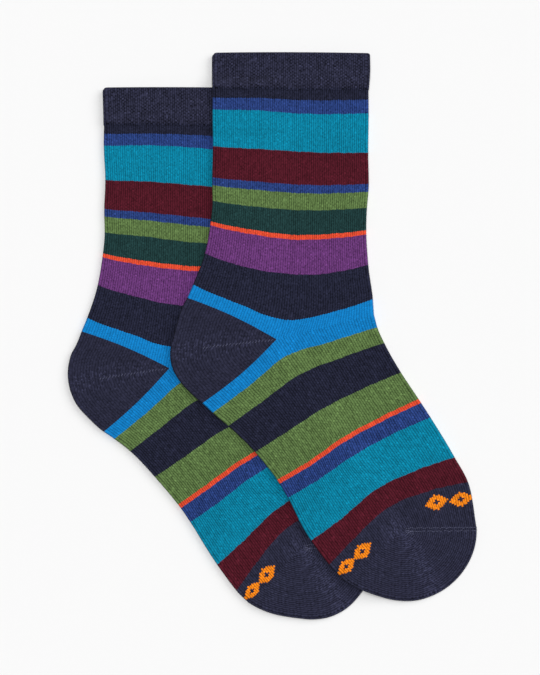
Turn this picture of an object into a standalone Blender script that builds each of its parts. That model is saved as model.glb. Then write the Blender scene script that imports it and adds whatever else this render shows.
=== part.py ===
"""A pair of child's crew socks laid flat, one lapping over the other.

Each sock is a knitted tube pressed flat, in five sections as a knitter counts them: a cuff whose
welt is turned double, a leg, a heel pocket, a foot and a toe pocket. Every section is a real wall,
hollow inside: a near and a far panel that meet in two rounded folds. The leg and the foot are
bands of knitted courses, each course running from the back fold over the mid wale to the front
fold. The heel and the toe are fans of short courses about an apex on the mid wale. The under
sock lies on the floor. The top sock lies partly on it and comes down to the floor beside it.

Axes: X across the pair, Y from the toes towards the cuffs, Z up from the floor.
Origin: the middle of the pair's footprint, on the floor. Lengths are in metres.
"""

import math
from collections import namedtuple

import bmesh
import bpy
import numpy as np

MM = 0.001

# Knitted walls. A crown is how much the near panel stands up between its folds.
BODY_WALL = 1.3 * MM
POCKET_WALL = 1.4 * MM
WELT_WALL = 1.9 * MM
GAP_INSIDE = 0.6 * MM
CROWN = 0.5 * MM

# What parts one section from the next, and one sock from the other.
SECTION_GAP = 0.3 * MM
LAP_CLEARANCE = 0.5 * MM

# How the top sock comes down beside the under sock.
FALL_START = 0.8 * MM
FALL_WIDTH = 14.0 * MM
WELT_STEP = 6.0 * MM

# The linked toe seam, a low ridge along the last course of the instep.
SEAM_RAISE = 0.4 * MM
SEAM_WIDTH = 1.4 * MM

# How finely the walls are divided.
COURSE_PITCH = 8.0 * MM
WELT_PITCH = 3.5 * MM
HALF_PANEL_STEPS = 7
FOLD_ANGLES = (-90.0, -45.0, 0.0, 45.0, 90.0)
RIM_ANGLES = (0.0, 45.0, 90.0)
HEEL_COURSES = 9
TOE_COURSES = 12
POCKET_TIP = 2.0 * MM
CURVE_SAMPLES = 33

# One course of knitting as it lies: where it meets the back fold, the mid wale and the front
# fold, in millimetres from the heel's apex, and how sharply it turns at the mid wale
# (0 for an even bow, 1 for a corner).
Course = namedtuple("Course", "back_x back_y mid_x mid_y front_x front_y corner")

# The outline of a heel or toe pocket between its first and last course: the way from its apex
# in degrees from +X, and the distance to the fold in millimetres.
Reach = namedtuple("Reach", "turn length")

Sock = namedtuple("Sock", "name apex_x apex_y cuff leg foot heel toe")

TOP_SOCK = Sock(
    name="top_sock",
    apex_x=0.0,
    apex_y=0.0,
    cuff=(
        Course(-29.8, 132.2, 6.1, 132.4, 42.4, 132.0, 0.0),
        Course(-29.9, 123.5, 6.1, 123.7, 42.5, 123.5, 0.0),
        Course(-29.8, 115.0, 6.1, 115.0, 42.2, 115.1, 0.0),
    ),
    leg=(
        Course(-29.8, 115.0, 6.1, 115.0, 41.5, 115.1, 0.0),
        Course(-29.8, 88.2, 6.1, 86.3, 41.3, 85.4, 0.0),
        Course(-29.5, 63.1, 5.8, 60.1, 40.8, 60.6, 0.0),
        Course(-30.3, 53.7, 5.6, 48.4, 40.6, 50.5, 0.0),
        Course(-32.3, 39.4, 4.7, 29.6, 41.4, 33.9, 0.2),
        Course(-37.9, 25.2, 2.4, 9.1, 43.5, 19.2, 0.6),
        Course(-40.8, 19.6, 0.0, 0.0, 44.5, 11.8, 1.0),
    ),
    heel=(
        Reach(163.0, 46.0),
        Reach(172.0, 46.6),
        Reach(180.0, 47.7),
        Reach(187.0, 49.1),
        Reach(194.0, 49.9),
        Reach(205.0, 48.5),
        Reach(212.5, 46.6),
    ),
    foot=(
        Course(-33.5, -29.3, 0.0, 0.0, 44.5, 11.8, 1.0),
        Course(-27.8, -34.2, 4.5, -7.3, 46.1, 5.6, 0.8),
        Course(-21.9, -39.7, 10.6, -16.0, 49.0, -1.5, 0.3),
        Course(-9.3, -51.9, 21.0, -31.9, 56.7, -14.4, 0.0),
        Course(0.6, -64.4, 29.5, -45.2, 64.8, -27.3, 0.0),
        Course(5.8, -72.4, 33.7, -54.4, 70.0, -35.6, 0.0),
        Course(15.3, -91.2, 45.9, -69.6, 82.0, -54.0, 0.0),
        Course(23.6, -101.8, 51.2, -77.2, 87.5, -65.9, 0.2),
        Course(30.5, -110.5, 57.8, -87.5, 91.4, -87.1, 1.0),
    ),
    toe=(
        Reach(244.0, 32.8),
        Reach(265.0, 32.4),
        Reach(296.0, 32.8),
        Reach(326.0, 33.1),
        Reach(347.0, 33.7),
    ),
)

UNDER_SOCK = Sock(
    name="under_sock",
    apex_x=-49.9,
    apex_y=-13.0,
    cuff=(
        Course(-30.1, 129.2, 6.0, 129.3, 42.1, 128.9, 0.0),
        Course(-30.1, 120.5, 6.0, 120.5, 42.1, 120.0, 0.0),
        Course(-30.0, 111.8, 6.0, 111.6, 42.0, 111.3, 0.0),
    ),
    leg=(
        Course(-29.4, 111.8, 6.0, 111.6, 41.5, 111.3, 0.0),
        Course(-29.2, 86.0, 6.0, 83.7, 41.2, 83.0, 0.0),
        Course(-29.6, 61.6, 5.9, 58.4, 40.8, 58.4, 0.0),
        Course(-30.3, 52.7, 5.7, 47.4, 40.8, 48.8, 0.0),
        Course(-32.6, 37.3, 4.0, 28.1, 41.8, 33.2, 0.2),
        Course(-37.0, 22.5, 1.7, 7.8, 44.3, 20.0, 0.6),
        Course(-39.6, 16.6, 0.0, 0.0, 45.3, 13.2, 1.0),
    ),
    heel=(
        Reach(161.5, 43.4),
        Reach(167.0, 44.2),
        Reach(172.0, 45.2),
        Reach(176.5, 45.8),
        Reach(183.5, 46.3),
        Reach(190.5, 46.5),
        Reach(200.0, 45.7),
        Reach(212.0, 43.5),
    ),
    foot=(
        Course(-29.9, -29.0, 0.0, 0.0, 45.3, 13.2, 1.0),
        Course(-24.6, -32.6, 5.4, -6.8, 47.4, 7.4, 0.8),
        Course(-17.6, -37.6, 12.4, -15.2, 50.6, 0.6, 0.3),
        Course(-6.3, -48.8, 24.0, -30.2, 58.8, -12.2, 0.0),
        Course(4.7, -63.0, 33.2, -43.0, 67.6, -25.0, 0.0),
        Course(10.2, -69.9, 37.7, -52.0, 73.2, -33.0, 0.0),
        Course(22.4, -90.6, 50.5, -66.7, 85.9, -50.6, 0.0),
        Course(30.6, -100.7, 56.1, -74.0, 91.6, -61.8, 0.2),
        Course(36.6, -107.6, 61.0, -82.3, 95.4, -81.6, 1.0),
    ),
    toe=(
        Reach(238.0, 34.1),
        Reach(267.0, 32.7),
        Reach(279.0, 33.6),
        Reach(288.0, 34.3),
        Reach(303.5, 34.8),
        Reach(321.0, 34.4),
        Reach(342.0, 34.4),
    ),
)

NAVY = (0.024, 0.025, 0.050, 1.0)
TEAL = (0.004, 0.205, 0.335, 1.0)
GREEN = (0.100, 0.168, 0.058, 1.0)


def smoothstep(share):
    """An even rise from 0 to 1 as share goes from 0 to 1."""
    share = np.clip(share, 0.0, 1.0)
    return share * share * (3.0 - 2.0 * share)


def through(knots, values, at):
    """Values at the given places on a smooth curve that passes through every knot."""
    slopes = np.gradient(values, knots, axis=0)
    index = np.clip(np.searchsorted(knots, at, side="right") - 1, 0, len(knots) - 2)
    span = knots[index + 1] - knots[index]
    u = (at - knots[index]) / span
    if values.ndim > 1:
        span = span[:, None]
        u = u[:, None]
    start = (2 * u**3 - 3 * u**2 + 1) * values[index]
    leave = (u**3 - 2 * u**2 + u) * span * slopes[index]
    end = (3 * u**2 - 2 * u**3) * values[index + 1]
    arrive = (u**3 - u**2) * span * slopes[index + 1]
    return start + leave + end + arrive


def courses_between(table, pitch):
    """Courses in metres at an even pitch, through the ones in the table, as an array of rows."""
    rows = np.array([tuple(course) for course in table])
    points = rows[:, :6].reshape(-1, 3, 2)
    steps = np.linalg.norm(np.diff(points, axis=0), axis=2).mean(axis=1)
    knots = np.concatenate([[0.0], np.cumsum(steps)])
    count = round(knots[-1] * MM / pitch) + 1
    even = through(knots, rows, np.linspace(0.0, knots[-1], count))
    even[:, :6] *= MM
    return even


class HalfCourse:
    """Half a course in plan, from a fold to the mid wale, read by distance from the fold."""

    def __init__(self, course, front):
        back, mid, end = np.asarray(course[:6]).reshape(3, 2)
        corner = course[6]
        share = np.linspace(0.0, 0.5, CURVE_SAMPLES)[:, None]
        if front:
            share = 1.0 - share
        bow = (
            2.0 * (share - 0.5) * (share - 1.0) * back
            + 4.0 * share * (1.0 - share) * mid
            + 2.0 * share * (share - 0.5) * end
        )
        edge = end if front else back
        straight = edge + (mid - edge) * np.linspace(0.0, 1.0, CURVE_SAMPLES)[:, None]
        self.points = (1.0 - corner) * bow + corner * straight
        strides = np.linalg.norm(np.diff(self.points, axis=0), axis=1)
        self.run = np.concatenate([[0.0], np.cumsum(strides)])

    @property
    def length(self):
        return self.run[-1]

    def at(self, distance):
        x = np.interp(distance, self.run, self.points[:, 0])
        y = np.interp(distance, self.run, self.points[:, 1])
        return np.array([x, y])


class Spoke(HalfCourse):
    """A pocket's short course in plan: a straight line from the fold in to the apex."""

    def __init__(self, edge, apex):
        self.points = np.array([edge, apex])
        self.run = np.array([0.0, np.linalg.norm(np.subtract(apex, edge))])


def panel_point(half, share, near, wall, offset):
    """A point of a flat panel at a share of the way from the fold's rim to the mid wale.

    offset is how far out from the middle of the wall the point lies.
    """
    rim = wall + GAP_INSIDE / 2
    x, y = half.at(rim + (half.length - rim) * share)
    if near:
        rise = CROWN * math.sin(math.pi / 2 * share)
        return x, y, 1.5 * wall + GAP_INSIDE + rise + offset
    return x, y, 0.5 * wall - offset


def fold_point(half, angle, wall, offset):
    """A point of a rounded fold, at an angle from its middle: -90 is below, +90 is above."""
    centre = wall + GAP_INSIDE / 2
    radius = (wall + GAP_INSIDE) / 2 + offset
    turn = math.radians(angle)
    x, y = half.at(centre - radius * math.cos(turn))
    return x, y, centre + radius * math.sin(turn)


def ring(course, wall, offset):
    """One closed ring of a band: near panel, front fold, far panel and back fold."""
    back = HalfCourse(course, front=False)
    front = HalfCourse(course, front=True)
    shares = [step / HALF_PANEL_STEPS for step in range(1, HALF_PANEL_STEPS)]
    points = [panel_point(back, share, True, wall, offset) for share in shares]
    points.append(panel_point(back, 1.0, True, wall, offset))
    points += [panel_point(front, share, True, wall, offset) for share in reversed(shares)]
    points += [fold_point(front, angle, wall, offset) for angle in reversed(FOLD_ANGLES)]
    points += [panel_point(front, share, False, wall, offset) for share in shares]
    points.append(panel_point(back, 1.0, False, wall, offset))
    points += [panel_point(back, share, False, wall, offset) for share in reversed(shares)]
    points += [fold_point(back, angle, wall, offset) for angle in FOLD_ANGLES]
    return points


def strip(spoke, wall, offset):
    """One open row of a pocket: from the near apex over the fold to the far apex."""
    innermost = 1.0 - POCKET_TIP / spoke.length
    shares = [innermost * step / HALF_PANEL_STEPS for step in range(1, HALF_PANEL_STEPS + 1)]
    points = [panel_point(spoke, share, True, wall, offset) for share in reversed(shares)]
    points += [fold_point(spoke, angle, wall, offset) for angle in reversed(FOLD_ANGLES)]
    points += [panel_point(spoke, share, False, wall, offset) for share in shares]
    return points


def draw_in(rows, end, neighbour):
    """Move a section's end row half a section gap towards the row next to it."""
    way = rows[neighbour] - rows[end]
    length = np.linalg.norm(way, axis=1, keepdims=True)
    rows[end] += way / length * np.minimum(SECTION_GAP / 2, 0.4 * length)


def skins(build_row, rows, wall):
    """The outer and inner skin of a wall, each an array of rows of points."""
    pair = tuple(
        np.array([build_row(row, wall, offset) for row in rows]) for offset in (wall / 2, -wall / 2)
    )
    for points in pair:
        draw_in(points, 0, 1)
        draw_in(points, -1, -2)
    return pair


def cuff_skins(sock):
    """Skins of the cuff, whose mouth is a rounded, turned edge and whose foot meets the leg."""
    courses = courses_between(sock.cuff, WELT_PITCH)
    step = np.linalg.norm(courses[1][2:4] - courses[0][2:4])
    outer, inner = [], []
    for angle in RIM_ANGLES:
        turn = math.radians(angle)
        depth = WELT_WALL / 2 * (1 - math.cos(turn))
        course = courses[0] + (courses[1] - courses[0]) * depth / step
        half = WELT_WALL / 2 * math.sin(turn)
        outer.append(ring(course, WELT_WALL, half))
        inner.append(ring(course, WELT_WALL, -half))
    for course in courses[1:]:
        outer.append(ring(course, WELT_WALL, WELT_WALL / 2))
        inner.append(ring(course, WELT_WALL, -WELT_WALL / 2))
    pair = np.array(outer), np.array(inner)
    for rows in pair:
        draw_in(rows, -1, -2)
    return pair


def leg_skins(sock):
    rows = courses_between(sock.leg, COURSE_PITCH)
    return skins(ring, rows, BODY_WALL)


def foot_skins(sock):
    """Skins of the foot, with the toe seam's ridge on its last course."""
    rows = list(courses_between(sock.foot, COURSE_PITCH))
    last, before = rows[-1], rows[-2]
    step = np.linalg.norm(last[4:6] - before[4:6])
    rows.insert(-1, last + (before - last) * SEAM_WIDTH / step)
    outer, inner = skins(ring, rows, BODY_WALL)
    instep = slice(HALF_PANEL_STEPS - 1, 2 * HALF_PANEL_STEPS - 1)
    outer[-1, instep, 2] += SEAM_RAISE
    return outer, inner


def fan(table, apex, first, last, count):
    """A pocket's rows in plan, from its first to its last course round the apex."""
    ways = [first - apex, last - apex]
    turns = [math.degrees(math.atan2(way[1], way[0])) % 360.0 for way in ways]
    if turns[1] < turns[0]:
        turns[1] += 360.0
    knots = np.array([turns[0]] + [reach.turn for reach in table] + [turns[1]])
    ends = [np.linalg.norm(way) for way in ways]
    reaches = np.array([ends[0]] + [reach.length * MM for reach in table] + [ends[1]])
    at = np.linspace(turns[0], turns[1], count)
    lengths = through(knots, reaches, at)
    turned = np.radians(at)
    edges = apex + lengths[:, None] * np.stack([np.cos(turned), np.sin(turned)], axis=1)
    return [Spoke(edge, apex) for edge in edges]


def heel_fan(sock, count=HEEL_COURSES):
    above, below = sock.leg[-1], sock.foot[0]
    apex = np.array([above.mid_x, above.mid_y]) * MM
    first = np.array([above.back_x, above.back_y]) * MM
    last = np.array([below.back_x, below.back_y]) * MM
    return fan(sock.heel, apex, first, last, count)


def toe_fan(sock, count=TOE_COURSES):
    seam = sock.foot[-1]
    apex = np.array([seam.mid_x, seam.mid_y]) * MM
    first = np.array([seam.back_x, seam.back_y]) * MM
    last = np.array([seam.front_x, seam.front_y]) * MM
    return fan(sock.toe, apex, first, last, count)


def heel_skins(sock):
    return skins(strip, heel_fan(sock), POCKET_WALL)


def toe_skins(sock):
    return skins(strip, toe_fan(sock), POCKET_WALL)


def plan_outline(sock):
    """The sock's outline in plan, as a closed loop of points from its own heel apex."""
    bands = (sock.cuff, sock.leg, sock.foot)
    cuff, leg, foot = (courses_between(table, COURSE_PITCH) for table in bands)
    down_front = np.concatenate([cuff[:, 4:6], leg[:, 4:6], foot[:, 4:6]])
    toe = np.array([spoke.points[0] for spoke in reversed(toe_fan(sock))])
    heel = np.array([spoke.points[0] for spoke in reversed(heel_fan(sock))])
    parts = [down_front, toe, foot[::-1, 0:2], heel, leg[::-1, 0:2], cuff[::-1, 0:2]]
    return np.concatenate(parts)


def depth_inside(points, outline):
    """How far each point lies inside a closed outline, negative outside it."""
    start = outline
    side = np.roll(outline, -1, axis=0) - start
    keep = np.linalg.norm(side, axis=1) > 1e-9
    start, side = start[keep], side[keep]
    to_point = points[:, None, :] - start[None]
    along = (to_point * side).sum(axis=2) / (side * side).sum(axis=1)
    nearest = start + side * np.clip(along, 0.0, 1.0)[:, :, None]
    distance = np.linalg.norm(points[:, None, :] - nearest, axis=2).min(axis=1)
    above = start[:, 1] > points[:, None, 1]
    above_end = (start + side)[:, 1] > points[:, None, 1]
    level = np.where(side[:, 1] == 0.0, 1.0, side[:, 1])
    crossing = start[:, 0] + (points[:, None, 1] - start[:, 1]) * side[:, 0] / level
    hits = (above != above_end) & (points[:, None, 0] < crossing)
    inside = hits.sum(axis=1) % 2 == 1
    return np.where(inside, distance, -distance)


def lap_rise(points, outline, welt_end):
    """How far the top sock is lifted at each point in plan by the under sock below it."""
    body = 2 * POCKET_WALL + GAP_INSIDE + CROWN + LAP_CLEARANCE
    welt = 2 * (WELT_WALL - POCKET_WALL) * smoothstep(1 + (points[:, 1] - welt_end) / WELT_STEP)
    fall = 1.0 + (depth_inside(points, outline) + FALL_START) / FALL_WIDTH
    return (body + welt) * smoothstep(fall)


def add_solid(name, skin_pair, closed, colour):
    """One closed body from the outer and inner skin of a wall, as a named object."""
    mesh = bmesh.new()
    outer, inner = (
        [[mesh.verts.new(point) for point in row] for row in skin] for skin in skin_pair
    )
    rows, columns = len(outer), len(outer[0])
    sides = columns if closed else columns - 1
    for row in range(rows - 1):
        for column in range(sides):
            after = (column + 1) % columns
            for skin in (outer, inner):
                corners = (
                    skin[row][column],
                    skin[row][after],
                    skin[row + 1][after],
                    skin[row + 1][column],
                )
                mesh.faces.new(corners)
    for row in (0, rows - 1):
        for column in range(sides):
            after = (column + 1) % columns
            corners = (outer[row][column], outer[row][after], inner[row][after], inner[row][column])
            mesh.faces.new(corners)
    if not closed:
        for column in (0, columns - 1):
            for row in range(rows - 1):
                corners = (
                    outer[row][column],
                    outer[row + 1][column],
                    inner[row + 1][column],
                    inner[row][column],
                )
                mesh.faces.new(corners)
    bmesh.ops.remove_doubles(mesh, verts=mesh.verts, dist=1e-6)
    bmesh.ops.recalc_face_normals(mesh, faces=mesh.faces)
    data = bpy.data.meshes.new(name)
    mesh.to_mesh(data)
    mesh.free()
    data.shade_smooth()
    data.set_sharp_from_angle(angle=math.radians(40.0))
    data.materials.append(knit_material(name, colour))
    solid = bpy.data.objects.new(name, data)
    bpy.context.scene.collection.objects.link(solid)
    return solid


def knit_material(name, colour):
    """A plain matt yarn finish of its own for one section."""
    material = bpy.data.materials.new(name + "_yarn")
    material.use_nodes = True
    shader = material.node_tree.nodes["Principled BSDF"]
    shader.inputs["Base Color"].default_value = colour
    shader.inputs["Roughness"].default_value = 0.92
    shader.inputs["Metallic"].default_value = 0.0
    return material


def sock_sections(sock):
    """Each section's name, skins, whether its rows close into rings, and its colour."""
    return (
        ("cuff", cuff_skins(sock), True, NAVY),
        ("leg", leg_skins(sock), True, TEAL),
        ("heel", heel_skins(sock), False, NAVY),
        ("foot", foot_skins(sock), True, GREEN),
        ("toe", toe_skins(sock), False, NAVY),
    )


def main():
    for thing in list(bpy.data.objects):
        bpy.data.objects.remove(thing)

    pair = (UNDER_SOCK, TOP_SOCK)
    places = {sock.name: np.array([sock.apex_x, sock.apex_y]) * MM for sock in pair}
    outlines = {sock.name: plan_outline(sock) + places[sock.name] for sock in pair}
    footprint = np.concatenate(list(outlines.values()))
    middle = (footprint.min(axis=0) + footprint.max(axis=0)) / 2
    welt_end = places[UNDER_SOCK.name][1] + UNDER_SOCK.cuff[-1].mid_y * MM

    for sock in pair:
        for section, skin_pair, closed, colour in sock_sections(sock):
            for skin in skin_pair:
                skin[:, :, :2] += places[sock.name]
                if sock is TOP_SOCK:
                    plan = skin[:, :, :2].reshape(-1, 2)
                    lifted = lap_rise(plan, outlines[UNDER_SOCK.name], welt_end)
                    skin[:, :, 2] += lifted.reshape(skin.shape[:2])
                skin[:, :, :2] -= middle
            add_solid(f"{sock.name}_{section}", skin_pair, closed, colour)


main()
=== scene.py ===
"""Looks of a pair of child's striped crew socks that lie flat, one partly on the other.

Each sock is a knitted tube pressed flat. Its five sections (cuff, leg, heel, foot, toe) are real
cloth shells with an outside and an inside, and every wale of the knitting stands up as a low rib.
A shell carries its own stitch counts, so stripes, motifs and single stitches follow the cloth.
Lengths are in metres; the tables of the knitting are in millimetres from each heel's apex.
"""

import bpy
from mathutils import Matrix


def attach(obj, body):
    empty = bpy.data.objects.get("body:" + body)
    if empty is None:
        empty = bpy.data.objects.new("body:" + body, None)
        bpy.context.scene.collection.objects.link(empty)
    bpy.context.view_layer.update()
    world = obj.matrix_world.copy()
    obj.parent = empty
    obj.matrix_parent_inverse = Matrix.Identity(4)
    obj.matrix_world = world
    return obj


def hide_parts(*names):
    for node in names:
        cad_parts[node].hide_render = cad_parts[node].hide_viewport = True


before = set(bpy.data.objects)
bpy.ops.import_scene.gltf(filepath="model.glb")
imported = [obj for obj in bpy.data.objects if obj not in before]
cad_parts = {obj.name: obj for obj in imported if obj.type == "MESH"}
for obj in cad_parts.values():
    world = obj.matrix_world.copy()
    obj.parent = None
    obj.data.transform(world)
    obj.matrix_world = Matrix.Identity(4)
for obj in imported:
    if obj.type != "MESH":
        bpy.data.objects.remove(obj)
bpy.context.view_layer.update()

import logging
import math
from dataclasses import dataclass
from enum import Enum
from functools import cached_property
from typing import ClassVar, NamedTuple, Sequence, Union

import bpy
import numpy as np
from mathutils import Vector

Socket = bpy.types.NodeSocket
Colour = tuple[float, float, float, float]
Feed = Union[Socket, float, Colour]

LOG = logging.getLogger("socks")
MM = 0.001
TINY = 1e-9

# Stitches round a sock, and from one of its two folds to the mid wale of a panel.
WALES = 144
HALF_PANEL = WALES // 4

# Points to a wale on the near panel, which faces up, and on the far one below it.
NEAR_STEPS = 4
FAR_STEPS = 2

# Courses that a pocket gains at each wale from its apex before its gore, and loses after it.
HEEL_GROWTH = 1.0
TOE_GROWTH = 1.5


class Part(Enum):
    """The sections of a sock, each with the course count at which its own stitches start."""

    CUFF = 400
    LEG = 0
    HEEL = 600
    FOOT = 200
    TOE = 800

    @property
    def title(self) -> str:
        """The section's word in the names of nodes and pieces."""
        return self.name.lower()


class Slot(Enum):
    """The material slots of the part."""

    CUFF_RIB = "cuff_rib"
    STRIPED_KNIT = "striped_knit"
    PLAIN_KNIT = "plain_knit"


class Course(NamedTuple):
    """One course as it lies, in millimetres from the heel's apex.

    number counts courses from the section's start. corner says how sharply the course turns at
    the mid wale, from 0 for an even bow to 1 for a corner. sag moves the middle of the back half
    further along the sock than that.
    """

    number: int
    back_x: float
    back_y: float
    mid_x: float
    mid_y: float
    front_x: float
    front_y: float
    corner: float
    sag: float = 0.0

    @property
    def back(self) -> np.ndarray:
        """Its end on the back fold, in metres."""
        return np.array([self.back_x, self.back_y]) * MM

    @property
    def mid(self) -> np.ndarray:
        """Its point on the mid wale, in metres."""
        return np.array([self.mid_x, self.mid_y]) * MM

    @property
    def front(self) -> np.ndarray:
        """Its end on the front fold, in metres."""
        return np.array([self.front_x, self.front_y]) * MM


class Drift(NamedTuple):
    """How many courses the knitting lags behind the way a course lies, at five wales of a panel."""

    number: int
    back: float
    rear: float
    middle: float
    fore: float
    front: float


class Reach(NamedTuple):
    """A point of a pocket's outline: degrees from +X about its apex, and millimetres from it."""

    turn: float
    length: float


class Crease(NamedTuple):
    """A soft trough in the near panel, or in the far one if hidden, in millimetres."""

    start_x: float
    start_y: float
    end_x: float
    end_y: float
    width: float
    depth: float
    hidden: bool = False

    def drop(self, places: np.ndarray, blunt: float) -> np.ndarray:
        """How far it presses the cloth in.

        Args:
            places: Rows of x and y, in millimetres.
            blunt: The share of its length at which each of its ends stops fading.

        Returns:
            The depth at each place, in millimetres.
        """
        start = np.array([self.start_x, self.start_y])
        way = np.array([self.end_x, self.end_y]) - start
        offset = places - start
        along = np.clip(offset @ way / (way @ way), 0.0, 1.0)
        away = np.linalg.norm(offset - along[:, None] * way, axis=1)
        fade = np.sin(math.pi * np.clip(along, blunt, 1.0 - blunt))
        return self.depth * fade * np.exp(-((away / self.width) ** 2))


class Yarn(Enum):
    """The dyed yarns, as 8-bit sRGB, and how heathered each is."""

    NAVY = (45, 46, 66, 0.9)
    INK = (36, 38, 57, 1.1)
    BLUE = (43, 66, 127, 1.0)
    TEAL = (8, 133, 166, 0.7)
    BURGUNDY = (83, 25, 38, 0.9)
    GREEN = (96, 122, 71, 0.9)
    DARK_GREEN = (32, 61, 61, 0.9)
    PURPLE = (107, 58, 120, 0.9)
    AZURE = (17, 128, 199, 0.5)
    ORANGE = (231, 80, 51, 0.6)
    AMBER = (252, 140, 28, 0.6)
    LOOP = (88, 90, 115, 1.0)

    @property
    def dyed(self) -> Colour:
        """The yarn's colour in linear light by sRGB's own curve, and its heather as alpha."""
        parts = [part / 255 for part in self.value[:3]]
        low = [part / 12.92 for part in parts]
        high = [((part + 0.055) / 1.055) ** 2.4 for part in parts]
        lit = [a if part <= 0.04045 else b for part, a, b in zip(parts, low, high)]
        return (lit[0], lit[1], lit[2], self.value[3])


class Bar(NamedTuple):
    """A raised loop of yarn from one point to another, and its width, in metres."""

    start: np.ndarray
    end: np.ndarray
    width: float


class Pace(Enum):
    """How fast each unevenness of the loops changes from one loop to the next, in radians."""

    LEAN = 2.4
    SHIFT = 1.7
    TANGLE = 2.3
    THICKNESS = 3.1
    GORE_LENGTH = 2.9
    GORE_SHIFT = 1.3
    GORE_THICKNESS = 1.9

    def at(self, index: int, seed: int = 0) -> float:
        """A loop's unevenness, from -1 to 1."""
        return math.sin(self.value * index + seed)


class Cut(NamedTuple):
    """A section's knitting laid out flat: width, length and, if it tapers, area, in metres."""

    width: float
    length: float
    area: float | None = None


class Stripe(NamedTuple):
    """A band of one yarn, from the course where it starts."""

    start: int
    yarn: Yarn


CUFF_STRIPES = (Stripe(0, Yarn.NAVY), Stripe(24, Yarn.INK))

LEG_STRIPES = (
    Stripe(0, Yarn.INK),
    Stripe(6, Yarn.BLUE),
    Stripe(14, Yarn.TEAL),
    Stripe(38, Yarn.BURGUNDY),
    Stripe(58, Yarn.BLUE),
    Stripe(63, Yarn.GREEN),
    Stripe(73, Yarn.DARK_GREEN),
    Stripe(89, Yarn.ORANGE),
    Stripe(92, Yarn.PURPLE),
    Stripe(114, Yarn.INK),
    Stripe(141, Yarn.AZURE),
)

FOOT_STRIPES = (
    Stripe(0, Yarn.AZURE),
    Stripe(11, Yarn.GREEN),
    Stripe(26, Yarn.INK),
    Stripe(51, Yarn.GREEN),
    Stripe(72, Yarn.ORANGE),
    Stripe(75, Yarn.BLUE),
    Stripe(86, Yarn.TEAL),
    Stripe(112, Yarn.BURGUNDY),
    Stripe(124, Yarn.NAVY),
)

PLAIN_NAVY = (Stripe(0, Yarn.NAVY),)


@dataclass(frozen=True)
class SockPattern:
    """One sock's knitting as it lies.

    Attributes:
        name: The start of its nodes' and pieces' names.
        apex: Its heel's apex, in millimetres from the top sock's.
        cuff: The welt's courses.
        leg: The leg's courses.
        foot: The foot's courses.
        heel: The heel pocket's outline.
        toe: The toe pocket's outline.
        gores: The shares of the heel's and of the toe's fan at which their gores lie.
        leg_drift: How the leg's knitting lags behind its courses.
        foot_drift: How the foot's does.
        creases: Its soft troughs.
    """

    name: str
    apex: tuple[float, float]
    cuff: tuple[Course, ...]
    leg: tuple[Course, ...]
    foot: tuple[Course, ...]
    heel: tuple[Reach, ...]
    toe: tuple[Reach, ...]
    gores: tuple[float, float]
    leg_drift: tuple[Drift, ...]
    foot_drift: tuple[Drift, ...]
    creases: tuple[Crease, ...]

    @property
    def place(self) -> np.ndarray:
        """Its heel's apex from the top sock's, in metres."""
        return np.array(self.apex) * MM


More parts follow.
